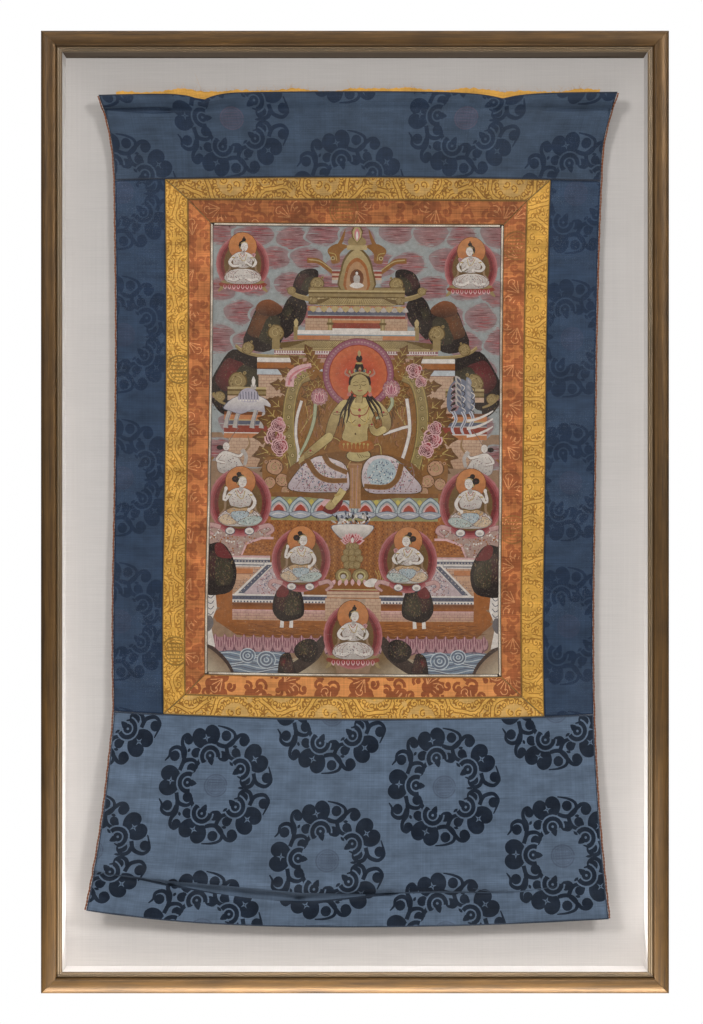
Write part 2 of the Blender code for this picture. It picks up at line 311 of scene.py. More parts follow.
class Sketch:
    """Shapes in the order they are painted. A placed sketch draws into its parent."""

    def __init__(self, shapes=None, matrix=None, shift=(0.0, 0.0)):
        self.shapes = [] if shapes is None else shapes
        self.matrix = np.eye(2) if matrix is None else matrix
        self.shift = np.asarray(shift, float)

    def at(self, x, y, size=1.0, turn=0.0, flip=False, tall=1.0):
        """The same sketch, drawn at another place, size, turn in degrees and hand."""
        c, s = math.cos(math.radians(turn)), math.sin(math.radians(turn))
        matrix = np.array(((c, -s), (s, c))) @ np.diag((-size if flip else size, size * tall))
        return Sketch(self.shapes, self.matrix @ matrix, self.place((x, y)))

    def place(self, points):
        return np.asarray(points, float) @ self.matrix.T + self.shift

    def fill(self, points, paint, gilt=0.0):
        """A filled outline."""
        outline = self.place(points)
        if isinstance(paint, Blend):
            start, end = self.place((paint.start, paint.end))
            paint = paint._replace(start=tuple(start), end=tuple(end))
        x, y = outline[:, 0], outline[:, 1]
        if x @ np.roll(y, -1) - y @ np.roll(x, -1) < 0:
            outline = outline[::-1]
        self.shapes.append(Shape(outline, paint, gilt))

    def blob(self, points, paint, gilt=0.0, steps=3):
        """A soft closed outline through the points."""
        self.fill(smooth(points, True, steps), paint, gilt)

    def oval(self, x, y, wide, high=None, paint=None, gilt=0.0, count=None):
        """An ellipse, by its half width and half height."""
        high = wide if high is None else high
        scale = abs(np.linalg.det(self.matrix)) ** 0.5
        count = count or int(np.clip(4 * (max(wide, high) * scale) ** 0.5, 7, 48))
        turn = np.arange(count) * 2 * math.pi / count
        self.fill(around(turn, wide, high, x, y), paint, gilt)

    def box(self, left, low, right, high, paint, gilt=0.0):
        self.fill(((left, low), (right, low), (right, high), (left, high)), paint, gilt)

    def stroke(self, points, width, paint, gilt=0.0, end=None, steps=3, belly=False):
        """A brush line through the points: its width can run to another at the end, or swell midway."""
        line = smooth(points, steps=steps) if len(points) > 2 and steps > 1 else np.asarray(points, float)
        run = np.linspace(0, 1, len(line))
        breadth = width + ((width if end is None else end) - width) * run**2.5
        if belly:
            breadth = breadth * (0.15 + 0.85 * np.sin(math.pi * run))
        along = np.gradient(line, axis=0)
        along /= np.maximum(np.linalg.norm(along, axis=1), 1e-9)[:, None]
        away = np.stack((-along[:, 1], along[:, 0]), 1) * (breadth / 2)[:, None]
        self.fill(np.vstack((line + away, (line - away)[::-1])), paint, gilt)

    def petal(self, x, y, length, wide, turn, paint, gilt=0.0, point=0.35):
        """A leaf or petal that grows from a point in a direction given in degrees."""
        c, s = math.cos(math.radians(turn)), math.sin(math.radians(turn))
        side = ((0, 0), (0.3, 0.42), (0.62, 0.5), (0.88, point * 0.7), (1, 0))
        half = [(length * a, wide * b) for a, b in side]
        points = half + [(a, -b) for a, b in half[-2:0:-1]]
        self.fill([(x + a * c - b * s, y + a * s + b * c) for a, b in points], paint, gilt)

    def curl(self, x, y, radius, turn, sweep, width, paint, gilt=0.0):
        """A spiral tendril that winds in to its end, with a bud there."""
        count = max(6, int(abs(sweep) / 30))
        run = np.linspace(0, 1, count)
        angle = np.radians(turn + sweep * run)
        reach = radius * (1 - 0.72 * run)
        line = around(angle, reach, reach, x, y)
        self.stroke(line, width, paint, gilt, steps=1)
        self.oval(*line[-1], width * 0.95, None, paint, gilt, 8)


# Cloth pieces


class Panel(NamedTuple):
    """A panel of the flat cut: its corners from the top left, clockwise."""

    corners: tuple
    forward: float = 0.0


def outline_of(corners, step):
    """The panel's outline, with a point every step or so."""
    line = []
    for a, b in zip(corners, (*corners[1:], corners[0]), strict=True):
        a, b = np.array(a, float), np.array(b, float)
        count = max(1, round(float(np.linalg.norm(b - a)) / step))
        line += [a + (b - a) * k / count for k in range(count)]
    return np.array(line)


def grid_over(outline, step):
    """Places spread over the outline's box, staggered, and clear of one another."""
    low, high = outline.min(0) + step * 0.4, outline.max(0) - step * 0.4
    across = np.linspace(low[0], high[0], max(2, round((high[0] - low[0]) / step) + 1))
    down = np.linspace(low[1], high[1], max(2, round((high[1] - low[1]) / step) + 1))
    grid = np.stack(np.meshgrid(across, down), -1)
    grid[::2, :, 0] += 0.23 * step
    return grid.reshape(-1, 2)


def along_folds(outline, step, folds):
    """Places along and across each narrow fold, for a grid that is too wide to show it."""
    low, high = outline.min(0) + 1, outline.max(0) - 1
    places = [np.empty((0, 2))]
    for fold in folds:
        if fold.width > step * 2:
            continue
        first, last = np.array((fold.across_from, -fold.drop_from)), np.array((fold.across_to, -fold.drop_to))
        run = np.linalg.norm(last - first)
        share = np.linspace(0, 1, max(2, round(run / step)))[:, None]
        aside = np.array((first[1] - last[1], last[0] - first[0])) / run
        places += [first + (last - first) * share + aside * fold.width * off for off in (-1.3, -0.65, 0, 0.65, 1.3)]
    places = np.vstack(places)
    return places[((places > low) & (places < high)).all(1)]


SLACK = 0.05  # how far a drawn line may move when its corners are thinned, in millimetres
UNKNOWN = -2


def laid_down(outline, shapes):
    """The lines that still show once every shape is laid over the last: their corners, the two ends of each, and the
    number of the shape on its left and on its right. The panel itself is 0, and outside it is -1."""
    points, faces, count = [outline], [list(range(len(outline)))], len(outline)
    for shape in shapes:
        points.append(shape.points)
        faces.append(list(range(count, count + len(shape.points))))
        count += len(shape.points)
    flat = [Vector(point) for point in np.vstack(points)]
    corners, _, triangles, _, _, sources = delaunay_2d_cdt(flat, [], faces, 0, 1e-4, True)
    alike = {}
    number = np.array([0] + [alike.setdefault((s.paint, s.gilt), k + 1) for k, s in enumerate(shapes)])
    inside = [(face, number[max(source)]) for face, source in zip(triangles, sources, strict=True) if 0 in source]
    left = np.tile([top for _, top in inside], 3)
    ends = edges_of(np.array([face for face, _ in inside]))
    across = opposite(ends, len(corners))
    right = np.where(across < 0, -1, left[across])
    shows = (left != right) & ((ends[:, 0] < ends[:, 1]) | (across < 0))
    return np.array(corners), ends[shows], left[shows], right[shows]


def edges_of(triangles):
    return np.vstack((triangles[:, (0, 1)], triangles[:, (1, 2)], triangles[:, (2, 0)]))


def opposite(ends, count):
    """For each directed edge, the place in the list of the one that runs the other way, or -1."""
    key, back = ends[:, 0] * count + ends[:, 1], ends[:, 1] * count + ends[:, 0]
    order = np.argsort(key)
    found = order[np.minimum(np.searchsorted(key, back, sorter=order), len(key) - 1)]
    return np.where(key[found] == back, found, -1)


def straightened(corners, ends, left, right):
    """The same lines with fewer corners: runs between two junctions are drawn anew, to within the slack."""
    meets = {}
    for number, (a, b) in enumerate(ends.tolist()):
        meets.setdefault(a, []).append(number)
        meets.setdefault(b, []).append(number)
    fixed = {corner for corner, lines in meets.items() if len(lines) != 2 or right[lines[0]] < 0}
    done = np.zeros(len(ends), bool)
    kept = []
    for start in (*sorted(fixed), *sorted(set(meets) - fixed)):
        for first in meets[start]:
            if done[first]:
                continue
            run, here, line = [start], start, first
            while True:
                done[line] = True
                a, b = ends[line].tolist()
                here = b if here == a else a
                run.append(here)
                if here in fixed or here == start:
                    break
                one, other = meets[here]
                line = other if one == line else one
            forward = ends[first][0] == start
            sides = (left[first], right[first]) if forward else (right[first], left[first])
            short = thinned(corners[run])
            kept += [(run[a], run[b], *sides) for a, b in zip(short, short[1:])]
    kept = np.array(kept)
    return kept[:, :2], kept[:, 2], kept[:, 3]


def thinned(line):
    """The corners to keep on a run of them: those that stand off the straight line between their neighbours."""
    stack, kept = [(0, len(line) - 1)], {0, len(line) - 1}
    while stack:
        first, last = stack.pop()
        if last - first < 2:
            continue
        chord, middle = line[last] - line[first], line[first + 1 : last] - line[first]
        long = math.hypot(*chord)
        off = np.abs(middle @ (-chord[1], chord[0])) / long if long > SLACK else np.hypot(*middle.T)
        worst = int(np.argmax(off))
        if off[worst] > SLACK:
            kept.add(first + 1 + worst)
            stack += [(first, first + 1 + worst), (first + 1 + worst, last)]
    return sorted(kept)


def rings_in(shapes):
    """Places inside each round blend, so that its colours have corners to lie on."""
    angle = np.arange(12) * math.pi / 6
    places = [np.empty((0, 2))]
    for shape in shapes:
        if isinstance(shape.paint, Blend) and shape.paint.round:
            middle = np.array(shape.paint.start)
            reach = np.linalg.norm(np.array(shape.paint.end) - middle)
            spread = [around(angle + k, k / 5) for k in range(1, 5)]
            places.append(middle + reach * np.vstack(spread))
    return np.vstack(places)


def cut_flat(outline, shapes, step, folds=()):
    """Triangles over the outline, cut along what shows of each shape: their corners, and the shape of each."""
    ring = outline if signed_area(outline) > 0 else outline[::-1]
    if shapes:
        corners, *lines = laid_down(ring, shapes)
        ends, left, right = straightened(corners, *lines)
    else:
        corners, turn = ring, np.arange(len(ring))
        ends, left, right = np.stack((turn, np.roll(turn, -1)), 1), np.zeros(len(ring), int), np.full(len(ring), -1)
    used, ends = np.unique(ends, return_inverse=True)
    corners, ends = corners[used], ends.reshape(-1, 2)
    places = np.vstack((grid_over(outline, step), along_folds(outline, step, folds), rings_in(shapes)))
    low, high = outline.min(0) + 1, outline.max(0) - 1
    flat = np.vstack((corners, places[((places > low) & (places < high)).all(1)]))
    points = [Vector(point) for point in flat]
    points, lines, faces, _, sources, _ = delaunay_2d_cdt(points, ends.tolist(), [], 0, 1e-4, True)
    points, triangles = np.array(points), np.array([face for face in faces if len(face) == 3])
    drawn = []
    for (a, b), source in zip(lines, sources, strict=True):
        if source:
            one, (first, last) = source[0], ends[source[0]]
            along = (points[b] - points[a]) @ (flat[last] - flat[first]) > 0
            drawn.append((a, b, left[one], right[one]) if along else (b, a, left[one], right[one]))
    top = filled_in(triangles, len(points), drawn)
    triangles, top = triangles[top >= 0], top[top >= 0]
    used, triangles = np.unique(triangles, return_inverse=True)
    return points[used], triangles.reshape(-1, 3), top


def filled_in(triangles, count, drawn):
    """The shape of each triangle, spread from the two sides of every drawn line."""
    sides = edges_of(triangles)
    owner = np.tile(np.arange(len(triangles)), 3)
    across = opposite(sides, count)
    place_of = {(a, b): number for number, (a, b) in enumerate(sides.tolist())}
    top = np.full(len(triangles), UNKNOWN)
    open_side = across >= 0
    for a, b, left, right in drawn:
        for key, label in (((a, b), left), ((b, a), right)):
            number = place_of.get(key)
            if number is not None:
                top[owner[number]] = label
                open_side[number] = False
    near, far = owner[open_side], owner[across[open_side]]
    while True:
        spread = (top[near] == UNKNOWN) & (top[far] != UNKNOWN)
        if not spread.any():
            return top
        top[near[spread]] = top[far[spread]]


def signed_area(points):
    x, y = points[:, 0], points[:, 1]
    return (x @ np.roll(y, -1) - y @ np.roll(x, -1)) / 2


def rim_of(triangles):
    """The open edge of the triangles, as one loop of corners in order."""
    own = {tuple(edge) for edge in edges_of(triangles).tolist()}
    follows = {a: b for a, b in own if (b, a) not in own}
    first = next(iter(follows))
    loop, here = [first], follows[first]
    while here != first:
        loop.append(here)
        here = follows[here]
    return loop


def paint_corners(corners, triangles, top, shapes, ground):
    """The colour and the gilding of each triangle's three corners."""
    places = corners[triangles]
    colours = np.ones((len(triangles), 3, 4))
    colours[..., :3] = ground
    gilding = np.zeros((len(triangles), 3))
    order = np.argsort(top, kind="stable")
    starts = np.searchsorted(top[order], np.arange(1, len(shapes) + 2))
    for number, shape in enumerate(shapes):
        mine = order[starts[number] : starts[number + 1]]
        if not len(mine):
            continue
        gilding[mine] = shape.gilt
        if isinstance(shape.paint, Blend):
            start, end = np.array(shape.paint.start), np.array(shape.paint.end)
            line = end - start
            away = places[mine] - start
            if shape.paint.round:
                share = np.linalg.norm(away, axis=-1) / np.linalg.norm(line)
            else:
                share = away @ line / (line @ line)
            share = np.clip(share, 0, 1)[..., None]
            first, second = np.array(shape.paint.first), np.array(shape.paint.second)
            colours[mine, :, :3] = first + (second - first) * share
        else:
            colours[mine, :, :3] = shape.paint
    return colours, gilding


def cloth_piece(name, panel, shapes, step, ground=(0, 0, 0), folds=FOLDS, sheet=SHEET, lift=None):
    """A closed sheet of cloth over a panel, with the shapes cut into its front."""
    outline = outline_of(panel.corners, step * 0.7) * (1, -1)
    corners, triangles, top = cut_flat(outline, shapes, step, folds)
    loop = rim_of(triangles)
    back_flat, back_triangles, _ = cut_flat(corners[loop][::-1], [], step, folds)
    behind = {k: int(np.argmin(((back_flat - corners[k]) ** 2).sum(1))) for k in loop}
    front = drape(corners[:, 0], -corners[:, 1], panel.forward + sheet / 2, folds)
    back = drape(back_flat[:, 0], -back_flat[:, 1], panel.forward - sheet / 2, folds)
    if lift:
        front[:, 2] += lift(corners[:, 0], -corners[:, 1]) * MM
        back[:, 2] += lift(back_flat[:, 0], -back_flat[:, 1]) * MM
    back_triangles = back_triangles[:, ::-1]
    faces = triangles.tolist() + (back_triangles + len(front)).tolist()
    for a, b in zip(loop, (*loop[1:], loop[0]), strict=True):
        near, far = behind[a] + len(front), behind[b] + len(front)
        faces.append((b, a, near, far) if near != far else (b, a, near))
    mesh = bpy.data.meshes.new(name)
    mesh.from_pydata(np.vstack((front, back)).tolist(), [], faces)
    flat = np.vstack((corners, back_flat))
    loops = loop_corners(mesh)
    cut = mesh.uv_layers.new(name="Cut")
    cut.data.foreach_set("uv", (flat[loops] * MM).ravel())
    low, high = flat.min(0), flat.max(0)
    spread = (flat - low) / (high - low)
    bake = mesh.uv_layers.new(name="OFBake")
    bake.data.foreach_set("uv", (0.01 + 0.98 * spread[loops]).ravel())
    colours = np.ones((len(loops), 4))
    colours[:, :3] = ground
    gilding = np.zeros(len(loops))
    painted = len(triangles) * 3
    drawn, gilded = paint_corners(corners, triangles, top, shapes, ground)
    colours[:painted], gilding[:painted] = drawn.reshape(-1, 4), gilded.ravel()
    mesh.attributes.new("pigment", "FLOAT_COLOR", "CORNER").data.foreach_set("color", colours.ravel())
    mesh.attributes.new("figure", "FLOAT", "CORNER").data.foreach_set("value", gilding)
    mesh.update()
    smooth_normals(mesh, corners, folds, len(triangles))
    return linked(name, mesh)


def linked(name, data):
    """An object of the data, in the scene."""
    obj = bpy.data.objects.new(name, data)
    bpy.context.scene.collection.objects.link(obj)
    return obj


def loop_corners(mesh):
    loops = np.empty(len(mesh.loops), np.int32)
    mesh.loops.foreach_get("vertex_index", loops)
    return loops


def smooth_normals(mesh, corners, folds, count):
    """Sets the front's normals from the drape itself, so that slim triangles don't show."""
    x, y = corners[:, 0], -corners[:, 1]
    along = drape(x + 0.5, y, 0, folds) - drape(x - 0.5, y, 0, folds)
    down = drape(x, y + 0.5, 0, folds) - drape(x, y - 0.5, 0, folds)
    normals = np.cross(down, along)
    normals /= np.linalg.norm(normals, axis=1)[:, None]
    normals *= np.where(normals[:, 1] > 0, -1, 1)[:, None]
    loops = loop_corners(mesh)
    rest = mesh.polygons[count:]
    plain = np.repeat([face.normal[:] for face in rest], [face.loop_total for face in rest], axis=0)
    mesh.shade_smooth()
    mesh.normals_split_custom_set(np.vstack((normals[loops[: count * 3]], plain)).tolist())


# Woven patterns, in millimetres on the flat cut: across, and up from the top edge


class Tendril(NamedTuple):
    """A vine that hooks round its bud, on a medallion of radius 1."""

    x: float
    y: float
    bud: float
    vine: tuple


TENDRILS = (
    Tendril(
        -0.45, 0.27, 0.078, ((-0.66, 0.23), (-0.60, 0.37), (-0.50, 0.41), (-0.40, 0.39), (-0.36, 0.30), (-0.39, 0.24)),
    ),
    Tendril(
        -0.54, 0.735, 0.072, ((-0.61, 0.36), (-0.59, 0.54), (-0.65, 0.66), (-0.64, 0.78), (-0.56, 0.83), (-0.49, 0.78)),
    ),
    Tendril(
        -0.77, 0.465, 0.080, ((-0.61, 0.44), (-0.65, 0.57), (-0.75, 0.61), (-0.85, 0.56), (-0.87, 0.46), (-0.94, 0.38)),
    ),
    Tendril(-0.40, 0.525, 0.072, ((-0.37, 0.33), (-0.31, 0.41), (-0.31, 0.51), (-0.36, 0.59), (-0.43, 0.59))),
    Tendril(
        0.13, 0.825, 0.080,
        ((-0.04, 0.69), (0.10, 0.65), (0.22, 0.68), (0.29, 0.77), (0.27, 0.88), (0.14, 0.95), (-0.03, 0.985)),
    ),
    Tendril(0.455, 0.745, 0.080, ((0.16, 0.66), (0.28, 0.76), (0.38, 0.84), (0.48, 0.84), (0.54, 0.76), (0.51, 0.69))),
    Tendril(0.32, 0.55, 0.072, ((0.14, 0.66), (0.17, 0.54), (0.22, 0.47), (0.31, 0.44), (0.39, 0.49), (0.385, 0.57))),
    Tendril(0.08, 0.49, 0.076, ((0.20, 0.50), (0.14, 0.43), (0.06, 0.42))),
    Tendril(
        0.90, 0.15, 0.080,
        ((0.66, 0.22), (0.70, 0.09), (0.78, 0.03), (0.89, 0.01), (0.98, 0.09), (0.97, 0.20), (0.925, 0.34)),
    ),
    Tendril(0.53, 0.105, 0.072, ((0.68, 0.12), (0.63, 0.02), (0.53, -0.01), (0.45, 0.06), (0.44, 0.13), (0.37, 0.16))),
)
TILT = -4.0
BLOOM_TURNS = (176, 106, 34)
LOBE = (
    (0.63, 0.02), (0.68, 0.16), (0.78, 0.24), (0.90, 0.245), (0.99, 0.17), (0.995, 0.07), (0.93, 0.0), (0.80, -0.02),
)


def turned(degrees):
    c, s = math.cos(math.radians(degrees)), math.sin(math.radians(degrees))
    return np.array(((c, -s), (s, c)))


def bloom(ring, turn, figure, light, faded):
    """A double-lobed flower with a light star, and a bud under an arc on its inner side."""
    flower = Sketch(ring.shapes, ring.matrix @ turned(turn), ring.shift)
    for side in (1, -1):
        flower.blob([(a, b * side) for a, b in LOBE], figure, faded)
    flower.fill(around(np.arange(8) * math.pi / 4, np.array((0.075, 0.022) * 4), x=0.81), light)
    flower.oval(0.81, 0, 0.012, 0.012, figure, faded, 5)
    angle = np.radians(np.linspace(-112, 112, 13))
    for reach, breadth, paint, share in ((0.195, 0.03, light, 0), (0.145, 0.075, figure, faded)):
        flower.stroke(around(angle, reach, x=0.50), breadth, paint, share, steps=1)
    flower.oval(0.505, 0, 0.08, 0.08, figure, faded, 12)
    flower.petal(0.56, 0, 0.22, 0.11, 180, figure, faded)
    flower.oval(0.51, 0, 0.024, 0.024, light, 0, 6)


def medallion(sketch, x, y, wide, high, figure, light, faded=1.0):
    """A ring of flowers and tendrils, woven the same on both sides of a tilted line."""
    for flip in (1, -1):
        mirrored = turned(TILT) @ np.diag((1, flip)) @ turned(-TILT)
        ring = Sketch(sketch.shapes, sketch.matrix @ np.diag((wide, high)) @ mirrored, sketch.place((x, y)))
        for tendril in TENDRILS:
            ring.stroke(tendril.vine, 0.072, figure, faded, end=0.02)
            ring.oval(tendril.x, tendril.y, tendril.bud * 1.12, None, figure, faded, 12)
        for a, b, long, turn in (
            (-0.545, 0.53, 0.08, 60), (0.25, 0.65, 0.09, 0), (0.215, 0.40, 0.10, -45), (-0.32, 0.37, 0.13, 15),
        ):
            ring.petal(a, b, long, 0.05, turn, figure, faded)
        for turn in BLOOM_TURNS if flip > 0 else BLOOM_TURNS[1:]:
            bloom(ring, turn, figure, light, faded)
    sketch.at(x, y).petal(wide * 0.39, -wide * 0.03, wide * 0.12, wide * 0.05, 0, figure, faded)


def roundel(sketch, x, y, radius, dye, strength):
    """A round lattice badge: a rim, and bars that cross inside it."""
    badge = sketch.at(x, y, radius)
    angle = np.linspace(0, 2 * math.pi, 29)
    for reach, breadth in ((0.94, 0.11), (0.74, 0.06)):
        badge.stroke(around(angle[:-1], reach), breadth, dye, strength, steps=1)
    for level in (-0.5, -0.25, 0, 0.25, 0.5):
        reach = 0.66 * math.cos(level * 1.6)
        badge.stroke(((-reach, level), (reach, level)), 0.09, dye, strength, steps=1)
        badge.stroke(((level, -reach * 0.8), (level, reach * 0.8)), 0.05, dye, strength * 0.8, steps=1)


def seam_shade_line(sketch, panel, seam_shade, strength, wide):
    """A dark line painted inside the panel's edge: painted shade along its seam."""
    line = [(across, -drop) for across, drop in panel.corners]
    for first, second in zip(line, (*line[1:], line[0]), strict=True):
        mitred = abs(first[0] - second[0]) > 1 and abs(first[1] - second[1]) > 1
        sketch.stroke((first, second), wide * (0.6 if mitred else 1), seam_shade, strength, steps=1)
    return sketch.shapes


class Repeat(NamedTuple):
    """A half-drop repeat of medallions: a centre, the step between columns and the step down one."""

    across: float
    drop: float
    column: float
    step: float


def scatter(repeat, panel, reach):
    """The centres of the repeat whose motifs touch the panel."""
    corners = np.array(panel.corners, float)
    low, high = corners.min(0) - reach, corners.max(0) + reach
    places = []
    for column in range(-12, 13):
        across = repeat.across + column * repeat.column
        for level in range(-20, 21):
            drop = repeat.drop + (level + (column % 2) / 2) * repeat.step
            if low[0] < across < high[0] and low[1] < drop < high[1]:
                places.append((across, drop))
    return places


class CreaseShadow(NamedTuple):
    """A painted shadow along a tuck in the blue silk: its line, across and down, and how wide and how dark it is."""

    line: tuple
    wide: float
    strength: float


CREASE_SHADOW_NEAR = 150  # a painted crease shadow belongs to the panel whose middle is this near
CREASE_SHADOWS = (
    CreaseShadow(((-308, 18), (-262, 20.5), (-236, 21), (-205, 22)), 8.5, 0.75),
    CreaseShadow(((-298, 19), (-270, 21), (-245, 22), (-222, 22)), 4.5, 0.6),
    CreaseShadow(((225, 22), (262, 21), (306, 21)), 4.5, 0.4),
    CreaseShadow(((-296, 1005), (-258, 1006), (-215, 1012)), 2.6, 0.6),
    CreaseShadow(((-262, 1007), (-215, 1012), (-140, 1018), (-60, 1023.5), (-2, 1021.5), (60, 1017)), 9.5, 0.92),
    CreaseShadow(((-240, 1007), (-150, 1015), (-60, 1021), (20, 1019)), 14.0, 0.35),
    CreaseShadow(((40, 1017), (110, 1016), (200, 1020)), 2.6, 0.6),
    CreaseShadow(((150, 1012), (190, 1019), (250, 1014)), 2.0, 0.35),
)


RING_WIDE, RING_HIGH, RING_REACH = 71, 77, 80


def blue_pattern(panel, bolt, figure, badge, ground, seam_shade):
    """The blue silk's rings, with a dull badge inside each, the painted shadows of its tucks, and painted shade along
    its edges.
    """
    sketch = Sketch()
    for across, drop in scatter(bolt.repeat, panel, RING_REACH):
        medallion(sketch, across, -drop, RING_WIDE, RING_HIGH, figure, ground, bolt.figure)
        sketch.oval(across, -drop, 14.4, 14.4, badge, 0.4 * bolt.badge, 20)
        roundel(sketch, across, -drop, 15, badge, bolt.badge)
    # painted shadows of the tucks, drawn in the figure's dark colour
    for crease_shadow in CREASE_SHADOWS:
        if abs(crease_shadow.line[0][1] - np.mean(panel.corners, 0)[1]) < CREASE_SHADOW_NEAR:
            sketch.stroke([(a, -b) for a, b in crease_shadow.line], crease_shadow.wide, figure, crease_shadow.strength, belly=True)
    return seam_shade_line(sketch, panel, seam_shade, 0.75, 3.4)


def scrolling(sketch, x, y, size, line, light, strength, turn, _flip):
    """A wreath of looping tendrils and leaves: dark woven lines on lighter floats."""
    wreath = sketch.at(x, y, 1, turn)
    angle = np.linspace(0, 2 * math.pi, 33)[:-1]
    for reach, thick, paint in ((0.94, size * 0.30, light), (1.02, 1.5, line), (0.86, 1.2, line)):
        wave = reach * size * (1 + 0.06 * np.sin(angle * 6))
        wreath.stroke(around(angle, wave), thick, paint, strength, steps=1)
    for k in range(12):
        spin = wreath.at(0, 0, 1, 30 * k)
        for reach, loop, sweep in ((0.68, 0.13, 300), (1.24, 0.12, -290)):
            spin.oval(size * reach, 0, size * loop, None, light, strength, 8)
            spin.curl(size * reach, 0, size * loop, 90, sweep, 1.3, line, strength)
        for side in (1, -1):
            for out in (1, 0.55):
                spin.petal(size * 0.97 * out, size * 0.14 * side, size * 0.28, size * 0.17, 32 * side, line, strength)
                spin.petal(size * 1.0 * out, size * 0.15 * side, size * 0.17, size * 0.08, 32 * side, light, strength)
    for k in range(5):
        spin = wreath.at(0, 0, 1, 72 * k)
        spin.petal(size * 0.08, 0, size * 0.42, size * 0.24, 20, light, strength)
        spin.curl(size * 0.26, 0, size * 0.16, 0, 320, 1.3, line, strength)


def cloudy(sketch, x, y, size, dye, light, strength, turn, flip):
    """A lotus with curled clouds round it, and veins in a lighter thread."""
    cloud = sketch.at(x, y, size, turn, flip)
    for a, b, reach in (
        (0, 0, 0.36), (0.34, 0.14, 0.28), (-0.34, 0.12, 0.28), (0.12, -0.28, 0.25), (-0.16, 0.34, 0.24),
        (-0.54, -0.2, 0.18),
    ):
        cloud.oval(a, b, reach, reach * 0.85, dye, strength, 12)
    for k in range(7):
        cloud.petal(0, -0.25, 0.72, 0.24, 24 * k + 18, dye, strength)
        cloud.stroke(
            ((0, -0.2), (0.5 * math.cos(0.42 * k + 0.3), -0.2 + 0.5 * math.sin(0.42 * k + 0.3))), 0.035, light,
            strength, steps=1,
        )
    for side in (1, -1):
        cloud.curl(0.66 * side, -0.12, 0.28, 90, -300 * side, 0.13, dye, strength)
        cloud.curl(0.46 * side, 0.5, 0.22, 200, 280 * side, 0.12, dye, strength)
        cloud.curl(0.32 * side, -0.5, 0.2, -60, 280 * side, 0.12, dye, strength)
        cloud.curl(0.36 * side, 0.14, 0.2, 60, 260, 0.035, light, strength)


class Motif(NamedTuple):
    """A border's motif: what draws it, its size, its turn at each place, its repeat, and its badges' strength."""

    draw: object
    size: float
    turn: float
    start: float  # across, on the first strip
    shift: float  # what each later strip's start adds
    column: float
    step: float
    reach: float
    badge: float


WREATHS = Motif(scrolling, 32, 11, 18, 9, 60, 76, 50, 0.75)
LOTUSES = Motif(cloudy, 31, 47, 4, 5, 46, 50, 42, 0.6)
BORDER_START, BADGE_RADIUS = 150, 19


def border_pattern(motif, panel, line, light, badge, places, strip, strength):
    """A border's repeated motifs, a few badges in olive brown, and painted shade along its seams."""
    sketch = Sketch()
    repeat = Repeat(motif.start + motif.shift * strip, BORDER_START, motif.column, motif.step)
    for number, (across, drop) in enumerate(scatter(repeat, panel, motif.reach)):
        motif.draw(sketch, across, -drop, motif.size, line, light, strength, motif.turn * number, number % 2)
    for across, drop in places:
        roundel(sketch, across, -drop, BADGE_RADIUS, badge, motif.badge)
    return seam_shade_line(sketch, panel, badge, 0.7, 2.4)




# The picture, in millimetres from its middle

SKY = colour(154, 158, 156)
ROSE = colour(144, 96, 98)
DEEP_ROSE = colour(108, 60, 64)
BRIGHT_ROSE = colour(158, 80, 82)
ROSE_SKY = colour(146, 124, 124)
PALE_ROSE = colour(172, 134, 132)
OCHRE = colour(150, 128, 86)
DARK_OCHRE = colour(104, 82, 46)
PALE_OCHRE = colour(182, 160, 114)
BRICK = colour(198, 166, 140)
MORTAR = colour(150, 112, 92)
BEAM = colour(140, 62, 48)
ORANGE = colour(188, 122, 80)
RUST = colour(158, 96, 50)
DEEP_RUST = colour(112, 64, 36)
SLATE = colour(92, 94, 108)
WHITE = colour(222, 212, 202)
DIM_WHITE = colour(180, 170, 162)
INK = colour(34, 28, 28)
BARK = colour(74, 44, 44)
MOSS = colour(66, 62, 46)
LIT_LEAF = colour(116, 98, 70)
WINE = colour(110, 44, 46)
ROSE_RIM = colour(178, 112, 112)
LEAF = colour(140, 95, 50)
DEEP_LEAF = colour(98, 66, 36)
SKIN = colour(174, 152, 104)
SHADED_SKIN = colour(146, 122, 80)
LIT_SKIN = colour(198, 176, 120)
HALO = colour(196, 128, 78)
DEEP_HALO = colour(168, 100, 58)
GOLD_LINE = colour(186, 160, 96)
PINK = colour(198, 124, 128)
PALE_PINK = colour(214, 170, 168)
CRIMSON = colour(160, 58, 66)
WATER = colour(120, 134, 148)
FOAM = colour(196, 202, 204)
ROCK = colour(196, 180, 154)
GROUND = colour(150, 120, 95)
ROBE_LINE = colour(120, 98, 92)
COLD_BLUE = colour(96, 110, 132)
COLD_WHITE = colour(184, 188, 190)
DULL_GOLD = colour(190, 174, 120)
BROWN_SASH = colour(126, 84, 46)
OUTLINE = colour(84, 62, 34)


def scattered(seed):
    return np.random.default_rng(seed)


def one_of(chance, choices):
    return choices[int(chance.integers(len(choices)))]


def halves(page):
    """The page, and the page as in a mirror."""
    return ((side, page.at(0, 0, 1, 0, side > 0)) for side in (-1, 1))


def both(*points):
    """An outline that is the same on both sides, from its left half."""
    return points + tuple((-x, y) for x, y in reversed(points) if x)


def edged(page, points, paint, line, grow=0.96):
    """A smooth shape with a drawn outline."""
    points = np.array(points, float)
    page.blob(points, line)
    page.blob(points.mean(0) + (points - points.mean(0)) * grow, paint)


def lined(page, points, width, paint, line, end=None, rim=1.2):
    """A stroke with a drawn outline."""
    page.stroke(points, width + rim, line, end=None if end is None else end + rim)
    page.stroke(points, width, paint, end=end)


RIM_TINTS = (ROSE_SKY, SKY, PALE_ROSE, ROSE_SKY)
CLOUD_TINTS = (DEEP_ROSE, PALE_ROSE, BRIGHT_ROSE, ROSE)


